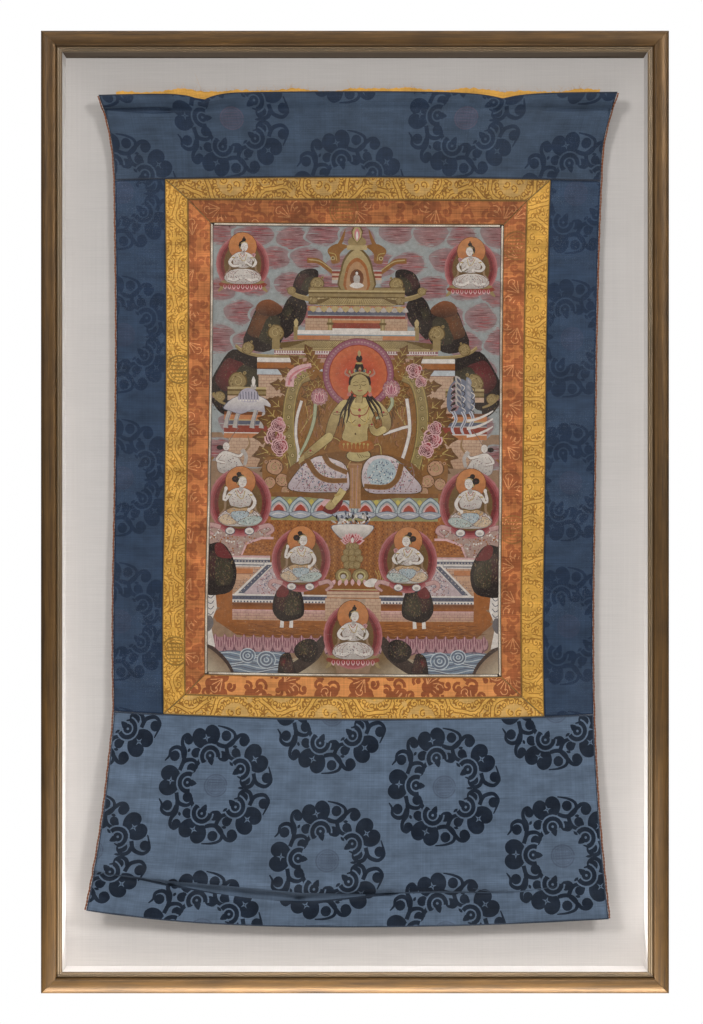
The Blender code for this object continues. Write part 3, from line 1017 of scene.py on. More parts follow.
def cloud(sketch, x, y, wide, high, seed):
    """A rose cloud: a soft patch, brushed across with fine level strokes."""
    chance = scattered(seed)
    turn = np.arange(9) * 2 * math.pi / 9
    reach = 1 + chance.normal(0, 0.10, 9)
    edge = around(turn, wide * reach, high * reach, x, y)
    for grow, inner, outer in ((1.1, ROSE_SKY, SKY), (0.97, ROSE, ROSE_SKY)):
        sketch.blob((x, y) + (edge - (x, y)) * grow, Blend(inner, outer, (x, y), (x + wide * grow, y), True), steps=3)
    for level in np.arange(-1.0, 1.04, 2.2 / high):
        half = wide * math.sqrt(max(0.12, 1.1 - level**2))
        for _ in range(3):
            a = x + half * chance.uniform(-1.08, 0.25)
            b = min(a + half * chance.uniform(0.4, 1.0), x + half * 1.08)
            h = y + high * level + chance.uniform(-0.9, 0.9)
            rim = abs(level) > 0.84 or a < x - half * 0.9
            tint = one_of(chance, RIM_TINTS if rim else CLOUD_TINTS)
            middle = ((a + b) / 2, h + chance.uniform(-0.8, 0.8))
            sketch.stroke(((a, h), middle, (b, h)), chance.uniform(0.6, 1.2), tint, steps=2, belly=True)


def sky(page):
    page.box(-195, 20, 195, 295, SKY)
    number = 0
    for level, y in enumerate(np.arange(278, -10, -35)):
        for x in np.arange(-176 + 22 * (level % 2), 190, 45):
            if y < 130 and abs(x) < 125:
                continue
            number += 1
            chance = scattered(number)
            dx, dy = chance.normal(0, 2.5, 2)
            cloud(page, x + dx, y + dy, 22 + chance.uniform(-2, 4), 16 + chance.uniform(-2, 2), number)


def bricks(page, left, low, right, high, course=4.2, wall=BRICK, joint=MORTAR):
    """A brick wall with drawn joints."""
    page.box(left, low, right, high, Blend(wall, colour(186, 148, 118), (left, high), (left, low)))
    rows = max(1, round((high - low) / course))
    for row in range(rows):
        y = low + (high - low) * row / rows
        page.box(left, y - 0.22, right, y + 0.22, joint)
        start = left + (3.5 if row % 2 else 0)
        for x in np.arange(start, right, 7.0):
            page.box(x - 0.2, y, x + 0.2, y + (high - low) / rows, joint)


def layers(page, left, right, top, *bands):
    """Level bands from the top down, each a height and a paint."""
    for depth, paint in bands:
        page.box(left, top - depth, right, top, paint)
        top -= depth
    return top


def dentils(page, left, right, y, step, paint, high=2.0):
    for x in np.arange(left, right - step / 2, step):
        page.box(x, y - high, x + step * 0.55, y, paint)


def swirl(page, x, y, size, turn=0.0, flip=False, paint=OCHRE, line=DARK_OCHRE):
    """A carved roof scroll: a fat curl with drawn turns and a leafy tail."""
    curl = page.at(x, y, size, turn, flip)
    curl.blob(((0, -1), (0.85, -0.6), (1.0, 0.15), (0.55, 0.85), (-0.2, 1.0), (-0.9, 0.5), (-0.95, -0.3)), line)
    curl.blob(((0, -0.9), (0.75, -0.5), (0.88, 0.15), (0.5, 0.74), (-0.2, 0.88), (-0.78, 0.42), (-0.82, -0.3)), paint)
    angle = np.radians(np.linspace(-40, 420, 16))
    reach = np.linspace(0.66, 0.14, 16)
    curl.stroke(around(angle, reach), 0.12, line, 0.4, steps=1)
    curl.stroke(around(angle + 0.35, reach), 0.1, PALE_OCHRE, 0.5, steps=1)
    for k in range(4):
        curl.oval(-0.75 + 0.5 * k, 0.92 - 0.1 * k * k, 0.2, 0.2, paint, 0, 8)
        curl.oval(-0.75 + 0.5 * k, 0.92 - 0.1 * k * k, 0.09, 0.09, line, 0, 6)


def roof(page, y, half, depth, rise, tip):
    """A gilt roof: an eave that sweeps up at its tips, fluted tiles and a beaded edge."""
    edge = ((-half, y + rise), (-half * 0.93, y + rise * 0.25), (-half * 0.8, y), (0, y), (half * 0.8, y))
    edge += ((half * 0.93, y + rise * 0.25), (half, y + rise))
    upper = (
        (half * 0.9, y + depth * 0.75), (half * 0.62, y + depth), (-half * 0.62, y + depth),
        (-half * 0.9, y + depth * 0.75),
    )
    page.fill(np.vstack((smooth(edge, steps=3), upper)), DARK_OCHRE)
    top = y + depth - 0.8
    page.fill(
        ((-half * 0.86, y + 1.6), (half * 0.86, y + 1.6), (half * 0.6, top), (-half * 0.6, top)),
        Blend(PALE_OCHRE, OCHRE, (0, top), (0, y)),
    )
    for x in np.arange(-half * 0.84, half * 0.85, 3.4):
        page.stroke(((x, y + 1.6), (x * 0.72, top)), 0.5, DARK_OCHRE, 0.3, steps=1)
    page.stroke(((-half * 0.9, y + 1.2), (half * 0.9, y + 1.2)), 1.3, PALE_OCHRE, 0.5, steps=1)
    dentils(page, -half * 0.85, half * 0.86, y, 2.6, OCHRE, 1.6)
    for side in (-1, 1):
        swirl(page, side * half * 0.97, y + rise * 0.9 + 1, tip, 20 * side, side > 0)


def tree(page, points, tints, seed, dots=60):
    """A dark rounded tree: lit and shaded masses under fine leaf dots."""
    points = np.array(points, float)
    middle = points.mean(0)
    page.blob(points, INK)
    chance = scattered(seed)
    for number, tint in enumerate(tints):
        angle = math.pi * (0.9 - number * 2.1 / max(1, len(tints)))
        shift = np.array((math.cos(angle), math.sin(angle))) * np.ptp(points, 0) * 0.15
        page.blob(
            middle + shift + (points - middle) * 0.56, Blend(tint, INK, tuple(middle + shift), tuple(points[0]), True),
        )
    spread = np.ptp(points, 0) * 0.42
    for _ in range(int(dots * 2.6)):
        angle, reach = chance.uniform(0, 2 * math.pi), math.sqrt(chance.uniform(0, 0.85))
        x, y = middle + spread * reach * np.array((math.cos(angle), math.sin(angle)))
        tint = one_of(chance, (MOSS, LIT_LEAF, colour(84, 70, 62), BARK))
        page.petal(x, y, chance.uniform(1.6, 3.2), 1.0, chance.uniform(50, 130), tint)


def flame_leaves(page, spots):
    """Long toothed leaves with a lit rib: each spot is a place, a length and a direction."""
    for x, y, length, turn in spots:
        leaf = page.at(x, y, length, turn)
        teeth = [(0, 0.05)]
        for k in range(5):
            teeth += [(0.08 + 0.18 * k, 0.34 - 0.03 * k), (0.16 + 0.18 * k, 0.18 - 0.015 * k)]
        teeth.append((1.08, 0))
        outline = teeth + [(a, -b) for a, b in teeth[-2::-1]]
        leaf.fill(outline, Blend(LEAF, DEEP_LEAF, (0.2, 0), (1.0, 0)))
        leaf.stroke(((0.05, 0), (0.95, 0)), 0.05, GOLD_LINE, 0.5, end=0.01, steps=1)
        for k in range(3):
            for side in (1, -1):
                leaf.stroke(((0.18 + 0.22 * k, 0), (0.3 + 0.22 * k, 0.14 * side)), 0.025, GOLD_LINE, 0.3, steps=1)


def peony(page, x, y, size, tint=CRIMSON, turn=0.0):
    """A full peony: three rings of pink petals, each with a lighter lip."""
    flower = page.at(x, y, size, turn)
    if size > 6:
        flame_leaves(
            flower, [(0.7 * math.cos(k), 0.7 * math.sin(k), 0.75, math.degrees(k)) for k in (0.5, 2.2, 3.6, 5.2)],
        )
    for count, reach, wide, first in (
        (8, 1.0, 0.66, tint), (7, 0.74, 0.55, PINK), (5, 0.5, 0.46, tint), (4, 0.28, 0.3, PINK),
    ):
        for k in range(count):
            angle = 360 * k / count + reach * 70
            long = reach * (1 + 0.14 * math.sin(k * 2.4 + size))
            flower.petal(0, 0, long, wide, angle, PALE_PINK, point=0.9)
            flower.petal(
                0, 0, long * 0.86, wide * 0.76, angle, Blend(first, DEEP_ROSE, (long * 0.8, 0), (0, 0)), point=0.9,
            )


def blossom(page, x, y, size, turn=0.0):
    """A round lotus seen from its side, petals closing upwards."""
    flower = page.at(x, y, size, turn)
    flower.oval(0, 0, 1.0, 0.98, colour(146, 84, 100))
    for reach, count in ((1.04, 13), (0.78, 9)):
        for k in range(count):
            angle = 360 * k / count + 7
            flower.petal(0, -0.1, reach, 0.4, angle, PALE_ROSE, point=0.5)
            flower.petal(0, -0.1, reach * 0.84, 0.24, angle, ROSE_RIM, point=0.5)
    for angle, long in ((140, 0.9), (40, 0.9), (115, 1.2), (65, 1.2), (90, 1.35)):
        flower.petal(0, -0.75, long, 0.5, angle, PALE_PINK)
        flower.petal(0, -0.72, long * 0.84, 0.32, angle, colour(166, 98, 112))


def within(x, y, wide, high):
    """A test of whether a place is inside an oval."""
    return lambda u, v: ((u - x) / wide) ** 2 + ((v - y) / high) ** 2 < 1


def speckle(page, left, low, right, high, tints, seed, count, size=0.8, inside=None):
    """Small printed flowers over a cloth."""
    chance = scattered(seed)
    for _ in range(count):
        x, y = chance.uniform(left, right), chance.uniform(low, high)
        if inside is None or inside(x, y):
            page.oval(x, y, size * chance.uniform(0.6, 1.1), None, one_of(chance, tints), 0, 6)


def aureole(page, wide, high, halo_y, halo):
    """The oval glory behind a seated figure, and the round one behind its head."""
    for grow, paint in ((1.0, ROSE_RIM), (0.95, colour(160, 86, 88)), (0.89, colour(142, 62, 66)), (0.83, WINE)):
        page.oval(0, 0, wide * grow, high * grow, paint)
    page.oval(0, 0, wide * 0.74, high * 0.80, colour(118, 52, 46))
    page.oval(
        0, 0, wide * 0.70, high * 0.77, Blend(colour(96, 74, 46), colour(112, 84, 48), (0, 0), (wide * 0.7, 0), True),
    )
    page.oval(0, halo_y, halo + 0.7, None, DEEP_RUST)
    page.oval(0, halo_y, halo, None, Blend(HALO, DEEP_HALO, (0, halo_y + 4), (0, halo_y - halo)))


def seated(page, x, y, size, seed, flip=False, raised=False, plain=False):
    """A small white attendant on a lotus seat, with its glories behind."""
    spot = page.at(x, y, size, 0, flip)
    aureole(spot, 39, 42.5, 26, 20.5 if plain else 18.6)
    skirt = DIM_WHITE if plain else colour(186, 178, 170)
    if plain:
        for side in (-1, 1):
            spot.stroke(((side * 28, -28), (side * 31, -36), (side * 36, -41)), 6, OCHRE, end=2)
        spot.blob(((-33, -28), (0, -25), (33, -28), (30, -34), (0, -36), (-30, -34)), BEAM)
        for k in range(9):
            spot.petal(-26 + 6.5 * k, -30, 8, 5, -90, PALE_PINK)
            spot.petal(-26 + 6.5 * k, -30, 6, 3, -90, CRIMSON)
        spot.blob(((-30, -25), (0, -22), (30, -25), (26, -29), (0, -30), (-26, -29)), OCHRE)
    else:
        for side in (-1, 1):
            lined(
                spot, ((side * 24, -31), (side * 36, -28), (side * 41, -34), (side * 33, -40)), 5,
                colour(196, 156, 150), ROSE, 2.4,
            )
            spot.oval(side * 12, -35.5, 6.4, 5, SLATE)
            spot.oval(side * 12, -35.2, 5.6, 4.2, WHITE)
            spot.oval(side * 12, -36, 3, 2, DIM_WHITE)
    # shawl round the arms
    for side in (-1, 1):
        spot.stroke(
            ((side * 8, 12), (side * 18, 4), (side * 19, -8), (side * 26, -16)), 3.4, colour(150, 122, 96), end=1.4,
        )
    # folded legs and skirt
    legs = ((-28, -22), (-22, -12), (-8, -7), (8, -7), (22, -12), (28, -22), (18, -29), (0, -30), (-18, -29))
    edged(spot, legs, Blend(WHITE, skirt, (0, -5), (0, -28)), colour(118, 88, 78))
    for side in (-1, 1):
        for k in range(4):
            start, end = (side * (6 + 4.5 * k), -9 - k), (side * (14 + 3 * k), -25 + k)
            spot.stroke((start, (side * (13 + 4 * k), -15), end), 0.7, colour(158, 128, 122), steps=2)
        spot.stroke(((side * 2, -20), (side * 12, -24), (side * 22, -22)), 4.6, WHITE, end=3.6)
        spot.stroke(((side * 3, -22.4), (side * 12, -26.4), (side * 22, -24.2)), 0.6, colour(128, 98, 92))
    if plain:
        speckle(spot, -24, -28, 24, -9, (DIM_WHITE, ROSE, SLATE), seed, 90, 0.7)
    else:
        tints = (colour(94, 120, 134), colour(104, 120, 92), colour(164, 84, 62), colour(88, 60, 50))
        inner = within(0, -18, 26, 10.5)
        speckle(spot, -26, -29, 26, -8, tints, seed, 60, 0.8, inner)
        for patch, paint in (
            (((-17, -9), (0, -5), (17, -9), (13, -14), (0, -13), (-13, -14)), colour(190, 156, 116)),
            (((-11, -12), (0, -10), (12, -12), (7, -21), (-3, -24), (-10, -19)), colour(172, 182, 184)),
            (((-27, -21), (-17, -14), (-9, -20), (-4, -26), (-18, -28)), colour(204, 178, 148)),
            (((-4, -26), (10, -17), (24, -16), (28, -22), (14, -29)), colour(176, 184, 176)),
        ):
            edged(spot, patch, paint, colour(132, 108, 96), 0.93)
        speckle(spot, -26, -28, 26, -7, (DEEP_RUST, SLATE, WHITE, colour(96, 122, 130)), seed + 1, 200, 0.62, inner)
    # a broad speckled shawl over the shoulders, then the arms
    body = ((-14, 13), (-6, 18), (6, 18), (14, 13), (15, 4), (10, -6), (-10, -6), (-15, 4))
    edged(spot, body, Blend(WHITE, DIM_WHITE, (0, 16), (0, -8)), colour(112, 88, 80), 0.95)
    speckle(
        spot, -13, -5, 13, 16, (
            DIM_WHITE, PALE_ROSE, SLATE, ROSE,
        ), seed + 3, 110, 0.6, lambda u, v: abs(u) < 12 - 0.06 * (v - 5) ** 2
    )
    spot.stroke(((-10, -5), (0, -7), (10, -5)), 1.3, DARK_OCHRE)
    for side in (-1, 1):
        if raised and side < 0:
            arm = ((-12, 12), (-19, 3), (-20, 8), (-18, 17))
        elif raised:
            arm = ((12, 12), (18, 2), (16, -5), (11, -9))
        else:
            arm = ((side * 12, 12), (side * 19, 3), (side * 14, -3), (-3.5, -2) if side < 0 else (5, 3))
        lined(spot, arm, 4.3, WHITE, colour(118, 92, 84), 2.6)
        spot.oval(*arm[-1], 2.2, 2.8, WHITE)
        spot.oval(side * 13.5, 9.5, 2.2, 1.0, GOLD_LINE, 0.5, 8)
    if not raised:
        spot.stroke(((4, 0), (12, -4), (17, 4), (15.5, 12)), 0.8, colour(96, 92, 52))
        peony(spot, 16, 13.5, 3.0)
    spot.stroke(((-6, 15), (-2, 7), (3, 5), (6, 15)), 0.9, GOLD_LINE, 0.6)
    spot.stroke(((-4, 16), (0, 11), (4, 16)), 0.8, colour(178, 96, 72))
    # neck and head, turned aside, with the hair knotted behind
    spot.stroke(((0, 14), (2, 22)), 5, DIM_WHITE)
    spot.oval(0.6, 27.4, 6.6, 7.6, INK)
    for x, y, reach in ((2, 36, 3.2), (2, 39.5, 1.4)) if plain else ((-6.4, 29, 4.6), (-2, 35, 3.4), (-6.4, 29, 1.4)):
        spot.oval(x, y, reach, reach * 0.9, INK if reach > 1.4 else BARK)
    face(spot.at(2.6, 25.6, 1, -5), 0, 0, 5.2, 6.9, WHITE, colour(120, 92, 88))
    spot.stroke(((-2.6, 30.4), (2.4, 32.6), (7.4, 30.8)), 1.3, PALE_OCHRE, 0.6)
    spot.oval(-3.2, 23.6, 1.0, 2.2, PALE_OCHRE, 0.4, 8)


def face(page, x, y, wide, high, skin, line):
    """A calm, even face on plain proportions."""
    page.oval(x, y, wide * 1.06, high * 1.04, line)
    page.oval(x, y, wide, high, skin)
    for side in (-1, 1):
        ex = x + side * wide * 0.42
        page.stroke(
            ((ex - wide * 0.26, y + 0.02 * high), (ex, y - 0.05 * high), (ex + wide * 0.26, y + 0.02 * high)),
            high * 0.055, line,
        )
        page.stroke(
            ((ex - wide * 0.28, y + 0.24 * high), (ex, y + 0.32 * high), (ex + wide * 0.28, y + 0.24 * high)),
            high * 0.045, line,
        )
    page.stroke(
        ((x, y + 0.08 * high), (x + wide * 0.1, y - 0.28 * high), (x - wide * 0.12, y - 0.3 * high)), high * 0.04, line,
    )
    page.stroke(
        ((x - wide * 0.24, y - 0.50 * high), (x, y - 0.54 * high), (x + wide * 0.24, y - 0.50 * high)), high * 0.075,
        colour(168, 80, 70),
    )


def palace(page):
    """The terraced palace behind the goddess, its side wings and its trees."""
    for side, half in halves(page):
        later = 4 if side > 0 else 0
        tree(
            half, ((-189, 76), (-176, 108), (-160, 127), (-140, 122), (-120, 112), (-122, 84), (-140, 66), (-166, 50)),
            (WINE, MOSS), 31 + later, 18,
        )
        tree(
            half, ((-146, 134), (-138, 160), (-128, 182), (-112, 192), (-97, 180), (-92, 158), (-98, 136), (-120, 124)),
            (colour(112, 70, 44), MOSS), 41 + later, 18,
        )
        half.blob(
            ((-130, 176), (-126, 188), (-112, 192), (-98, 184), (-96, 176), (-112, 170)),
            Blend(colour(134, 80, 50), INK, (-113, 192), (-113, 166)),
        )
        tree(
            half, ((-96, 178), (-86, 196), (-72, 196), (-64, 184), (-68, 166), (-80, 152), (-92, 142), (-98, 158)),
            (MOSS, INK), 51 + later, 16,
        )
        tree(
            half, ((-83, 206), (-76, 226), (-62, 233), (-50, 230), (-52, 214), (-64, 198), (-76, 198)), (BARK, MOSS),
            61 + later, 14,
        )
        # upper wings: dragons' tails and gold scrolls
        half.stroke(((-64, 244), (-50, 243), (-38, 234), (-26, 224)), 7, LEAF, end=4)
        half.stroke(((-62, 245), (-48, 243), (-36, 235), (-26, 226)), 1.6, PALE_OCHRE, 0.4, end=0.6)
        half.blob(
            (
                (-38, 256), (-34, 262), (-24, 266), (-10, 263), (-16, 259), (-22, 252), (-22, 242), (-32, 240),
                (-34, 248),
            ),
            LEAF,
        )
        half.stroke(((-24, 262), (-19, 272), (-15, 284)), 5, LEAF, end=0.6)
        half.stroke(((-36, 254), (-28, 252), (-26, 244)), 1.0, GOLD_LINE, 0.5)
        half.oval(-31, 247, 3.2, 2.8, PALE_OCHRE)
        half.oval(-31, 247, 1.4, 1.4, DEEP_LEAF)
        half.box(-32, 214, -18, 232, DIM_WHITE)
        layers(half, -32, -18, 230, (3, BEAM), (3, BRICK), (2.5, BEAM), (3, BRICK))
        swirl(half, -51, 213, 9, 0, True)
        half.box(-62, 186, -20, 209, DARK_OCHRE)
        layers(
            half, -60, -18, 208, (3, OCHRE), (2, DARK_OCHRE), (3.5, PALE_OCHRE), (2.5, BEAM), (4, OCHRE),
            (2, DARK_OCHRE), (3.5, OCHRE),
        )
        half.stroke(((-88, 203), (-76, 197), (-60, 193), (-40, 191)), 6, OCHRE, end=8)
        half.stroke(((-88, 204), (-76, 199), (-60, 195.5), (-40, 194)), 1.0, PALE_OCHRE, 0.5)
        swirl(half, -84, 204, 5.5, 30, False)
    # the niche and its little image
    page.blob(both((-22, 206), (-21, 232), (-15, 250), (0, 262)), DARK_OCHRE)
    page.blob(both((-20, 206), (-19, 231), (-13, 248), (0, 259)), Blend(PALE_OCHRE, OCHRE, (0, 262), (0, 215)))
    page.blob(both((-15, 206), (-15, 228), (-10, 241), (0, 248)), RUST)
    page.blob(both((-12, 205), (-12, 226), (-8, 237), (0, 243)), colour(176, 134, 96))
    page.oval(0, 221, 9, 12, DEEP_RUST)
    small = page.at(0, 219, 0.36)
    small.blob(((-26, -22), (0, -8), (26, -22), (0, -32)), WHITE)
    small.blob(((-10, 14), (10, 14), (9, -10), (-9, -10)), DIM_WHITE)
    small.oval(0, 25, 6, 8, INK)
    small.oval(0, 23, 5, 6.5, WHITE)
    page.oval(0, 268, 12, 8, OCHRE)
    page.box(-13, 258, 13, 264, PALE_OCHRE)
    page.petal(0, 266, 26, 15, 90, DARK_OCHRE)
    page.petal(0, 267, 23, 12, 90, PALE_OCHRE, 0.3)
    page.petal(0, 269, 17, 7, 90, PINK)
    page.petal(0, 270, 12, 3.5, 90, WHITE)
    layers(page, -62, 62, 205, (2.5, PALE_OCHRE), (2, DARK_OCHRE), (4, OCHRE), (2, DARK_OCHRE))
    dentils(page, -60, 60, 195, 5, PALE_OCHRE, 3)
    roof(page, 185, 56, 10, 6, 4)
    # first storey
    layers(page, -63, 63, 184, (5.5, ORANGE), (1, MORTAR), (5, SLATE), (1, DIM_WHITE), (3.5, BEAM))
    for x in np.arange(-56, 60, 14):
        page.blob(((x - 5, 182), (x, 176), (x + 5, 182), (x, 184)), PALE_OCHRE)
        page.blob(((x + 3, 177), (x + 7, 183), (x + 11, 177)), DIM_WHITE)
    bricks(page, -66, 153, 66, 168, 3.6, colour(190, 160, 132))
    layers(page, -36, 36, 166, (3.4, ORANGE), (7, BEAM), (1, WHITE), (5.4, WHITE), (1.2, SLATE))
    for side in (-1, 1):
        page.box(side * 34 - 3, 134, side * 34 + 3, 168, OCHRE)
        page.box(side * 34 - 1, 134, side * 34 + 1, 168, PALE_OCHRE)
        page.box(side * 34 - 4.5, 160, side * 34 + 4.5, 163, DARK_OCHRE)
        page.box(side * 78 - 3, 140, side * 78 + 3, 158, OCHRE)
        page.petal(side * 78, 156, 12, 6, 90, PALE_OCHRE)
    layers(page, -76, 76, 153, (5.4, WHITE), (1.4, colour(140, 160, 168)), (5, ORANGE), (1.2, MORTAR))
    bricks(page, -34, 134, 34, 146, 3.2, colour(186, 166, 140))
    # second roof and storey
    roof(page, 128, 106, 12, 7, 4)
    for side in (-1, 1):
        swirl(page, side * 104, 149, 10.5, 0, side > 0)
        page.box(side * 104 - 5, 128, side * 104 + 5, 141, OCHRE)
    layers(
        page, -106, 106, 128, (1.4, PALE_OCHRE), (3.4, colour(150, 104, 112)), (1.0, WHITE),
        (3.6, colour(168, 118, 112)), (1.2, BEAM),
    )
    for x in np.arange(-104, 104, 3.2):
        page.box(x, 123.6, x + 1.4, 126.2, WHITE)
        page.box(x + 1.2, 119.2, x + 2.4, 121.8, BEAM)
    # third, widest roof over both wings
    for side, half in halves(page):
        half.stroke(((-156, 132), (-146, 125), (-128, 120), (-100, 119), (-60, 119)), 4.5, OCHRE, end=3.5)
        half.stroke(((-156, 133.4), (-146, 126.4), (-128, 121.4), (-100, 120.2)), 1.0, PALE_OCHRE, 0.4)
        swirl(half, -140, 129, 8, 10, True)
        bricks(half, -126, -24, -84, 96)
        layers(
            half, -128, -78, 117, (5.5, WHITE), (1.0, MORTAR), (6.6, RUST), (1.6, DEEP_RUST), (7, COLD_WHITE),
            (1.2, MORTAR),
        )
        swirl(half, -153, 86, 12, 0, True)
        half.box(-163, 62, -140, 78, OCHRE)
        layers(half, -166, -116, 79, (3, PALE_OCHRE), (2.4, DARK_OCHRE), (4, OCHRE), (2, DARK_OCHRE), (6, BRICK))
        tree(half, ((-188, 64), (-178, 62), (-164, 54), (-166, 42), (-178, 48)), (INK,), 71, 10)
        swirl(half, -176, 66, 7, 20, False)
        half.stroke(((-186, 70), (-176, 60), (-164, 55)), 3.4, OCHRE, end=2.4)
        layers(
            half, -170, -112, 47, (4, DEEP_RUST), (6, ORANGE), (1.4, PALE_OCHRE), (5, SLATE), (1.2, DIM_WHITE),
            (9, BEAM), (1.2, WHITE), (6, ORANGE),
        )
        bricks(half, -164, -24, -112, 13)
    layers(page, -84, 84, 117, (6, colour(180, 140, 120)), (8, RUST), (6, COLD_WHITE))
    page.box(-86, -60, 86, 97, LEAF)


def offerings(page):
    """A white tented altar on the left and a blue-grey lotus altar on the right."""
    left = page.at(-140, 52)
    for x in (-26, -14, 8, 20):
        left.stroke(((x + 6, 4), (x, -14), (x - 2, -26)), 5.5, DIM_WHITE, end=6.5, steps=2)
        left.stroke(((x + 7, 2), (x + 2, -14), (x + 1, -25)), 0.7, SLATE, steps=2)
    tent = ((-32, 0), (-20, 12), (0, 18), (20, 14), (34, 2), (24, -6), (8, -2), (-8, -8), (-24, -4))
    edged(left, tent, Blend(WHITE, colour(160, 154, 164), (0, 16), (0, -8)), SLATE)
    left.blob(((-12, 10), (-10, 20), (0, 26), (11, 22), (15, 10), (2, 7)), colour(176, 168, 178))
    for k in range(7):
        left.stroke(((-10 + 3.8 * k, 21), (-9 + 3.6 * k, 11)), 0.9, SLATE, steps=1)
        left.oval(-9 + 3.6 * k, 9.5, 1.3, 1.3, WHITE)
    left.box(4, 24, 11, 30, DIM_WHITE)
    left.petal(7.5, 27, 14, 5, 90, WHITE)
    right = page.at(136, 66)
    right.blob(
        ((-16, -16), (-18, 4), (-12, 20), (0, 26), (12, 18), (18, 2), (16, -16), (0, -20)), colour(112, 118, 134),
    )
    for k in range(15):
        x, y, turn = 15 * math.sin(k * 2.1), 19 - 2.5 * k, 90 + 60 * math.sin(k * 2.1 + 0.6)
        right.petal(x, y, 13, 7, turn, (DIM_WHITE, colour(134, 138, 148), colour(150, 116, 118))[k % 3])
        right.petal(x, y, 10, 3.4, turn, (SLATE, colour(166, 162, 166), INK)[k % 3])
        right.stroke(((x, y), (x + 5, y - 4), (x + 2, y - 9)), 1.0, (WHITE, INK)[k % 2])
    for x in (-10, 2, 12):
        right.stroke(((x, -16), (x + 4, -26), (x - 1, -38), (x + 2, -46)), 4.4, colour(190, 188, 194), end=2.4)
        right.stroke(((x, -16), (x + 4, -26), (x - 1, -38)), 1.0, SLATE)
    for y in (-24, -34, -44):
        right.stroke(((8, y - 4), (20, y - 2), (34, y + 4), (42, y + 9)), 3.4, WHITE, end=1.4)
    for _, half in halves(page):
        player = half.at(-163, -4)
        player.stroke(((-4, 6), (4, 20), (12, 30)), 0.8, colour(120, 104, 100))
        player.stroke(((18, -2), (26, 8), (24, 20)), 3, colour(150, 118, 84), end=1)
        robe = ((-16, -20), (-15, -8), (-9, 0), (-1, 0), (8, -4), (16, -14), (20, -26), (2, -30), (-12, -28))
        edged(player, robe, Blend(WHITE, DIM_WHITE, (0, 0), (0, -26)), ROBE_LINE)
        speckle(player, -12, -28, 16, -4, (SLATE, DIM_WHITE, ROSE), 27, 60, 0.7)
        lined(player, ((4, -4), (14, -6), (20, 2)), 3.4, WHITE, ROBE_LINE, 2.4)
        lined(player, ((-11, -4), (-16, -12), (-6, -15)), 3.2, WHITE, ROBE_LINE, 2.4)
        player.stroke(((-20, -8), (-26, -14), (-24, -26)), 3, LEAF, end=1.4)
        player.oval(-12, 4.5, 4.6, 3.2, INK)
        face(player, -4, 6, 4.4, 5.4, WHITE, colour(110, 90, 86))
        player.stroke(((16, 2), (22, -6), (20, -18)), 5, DIM_WHITE, end=4)


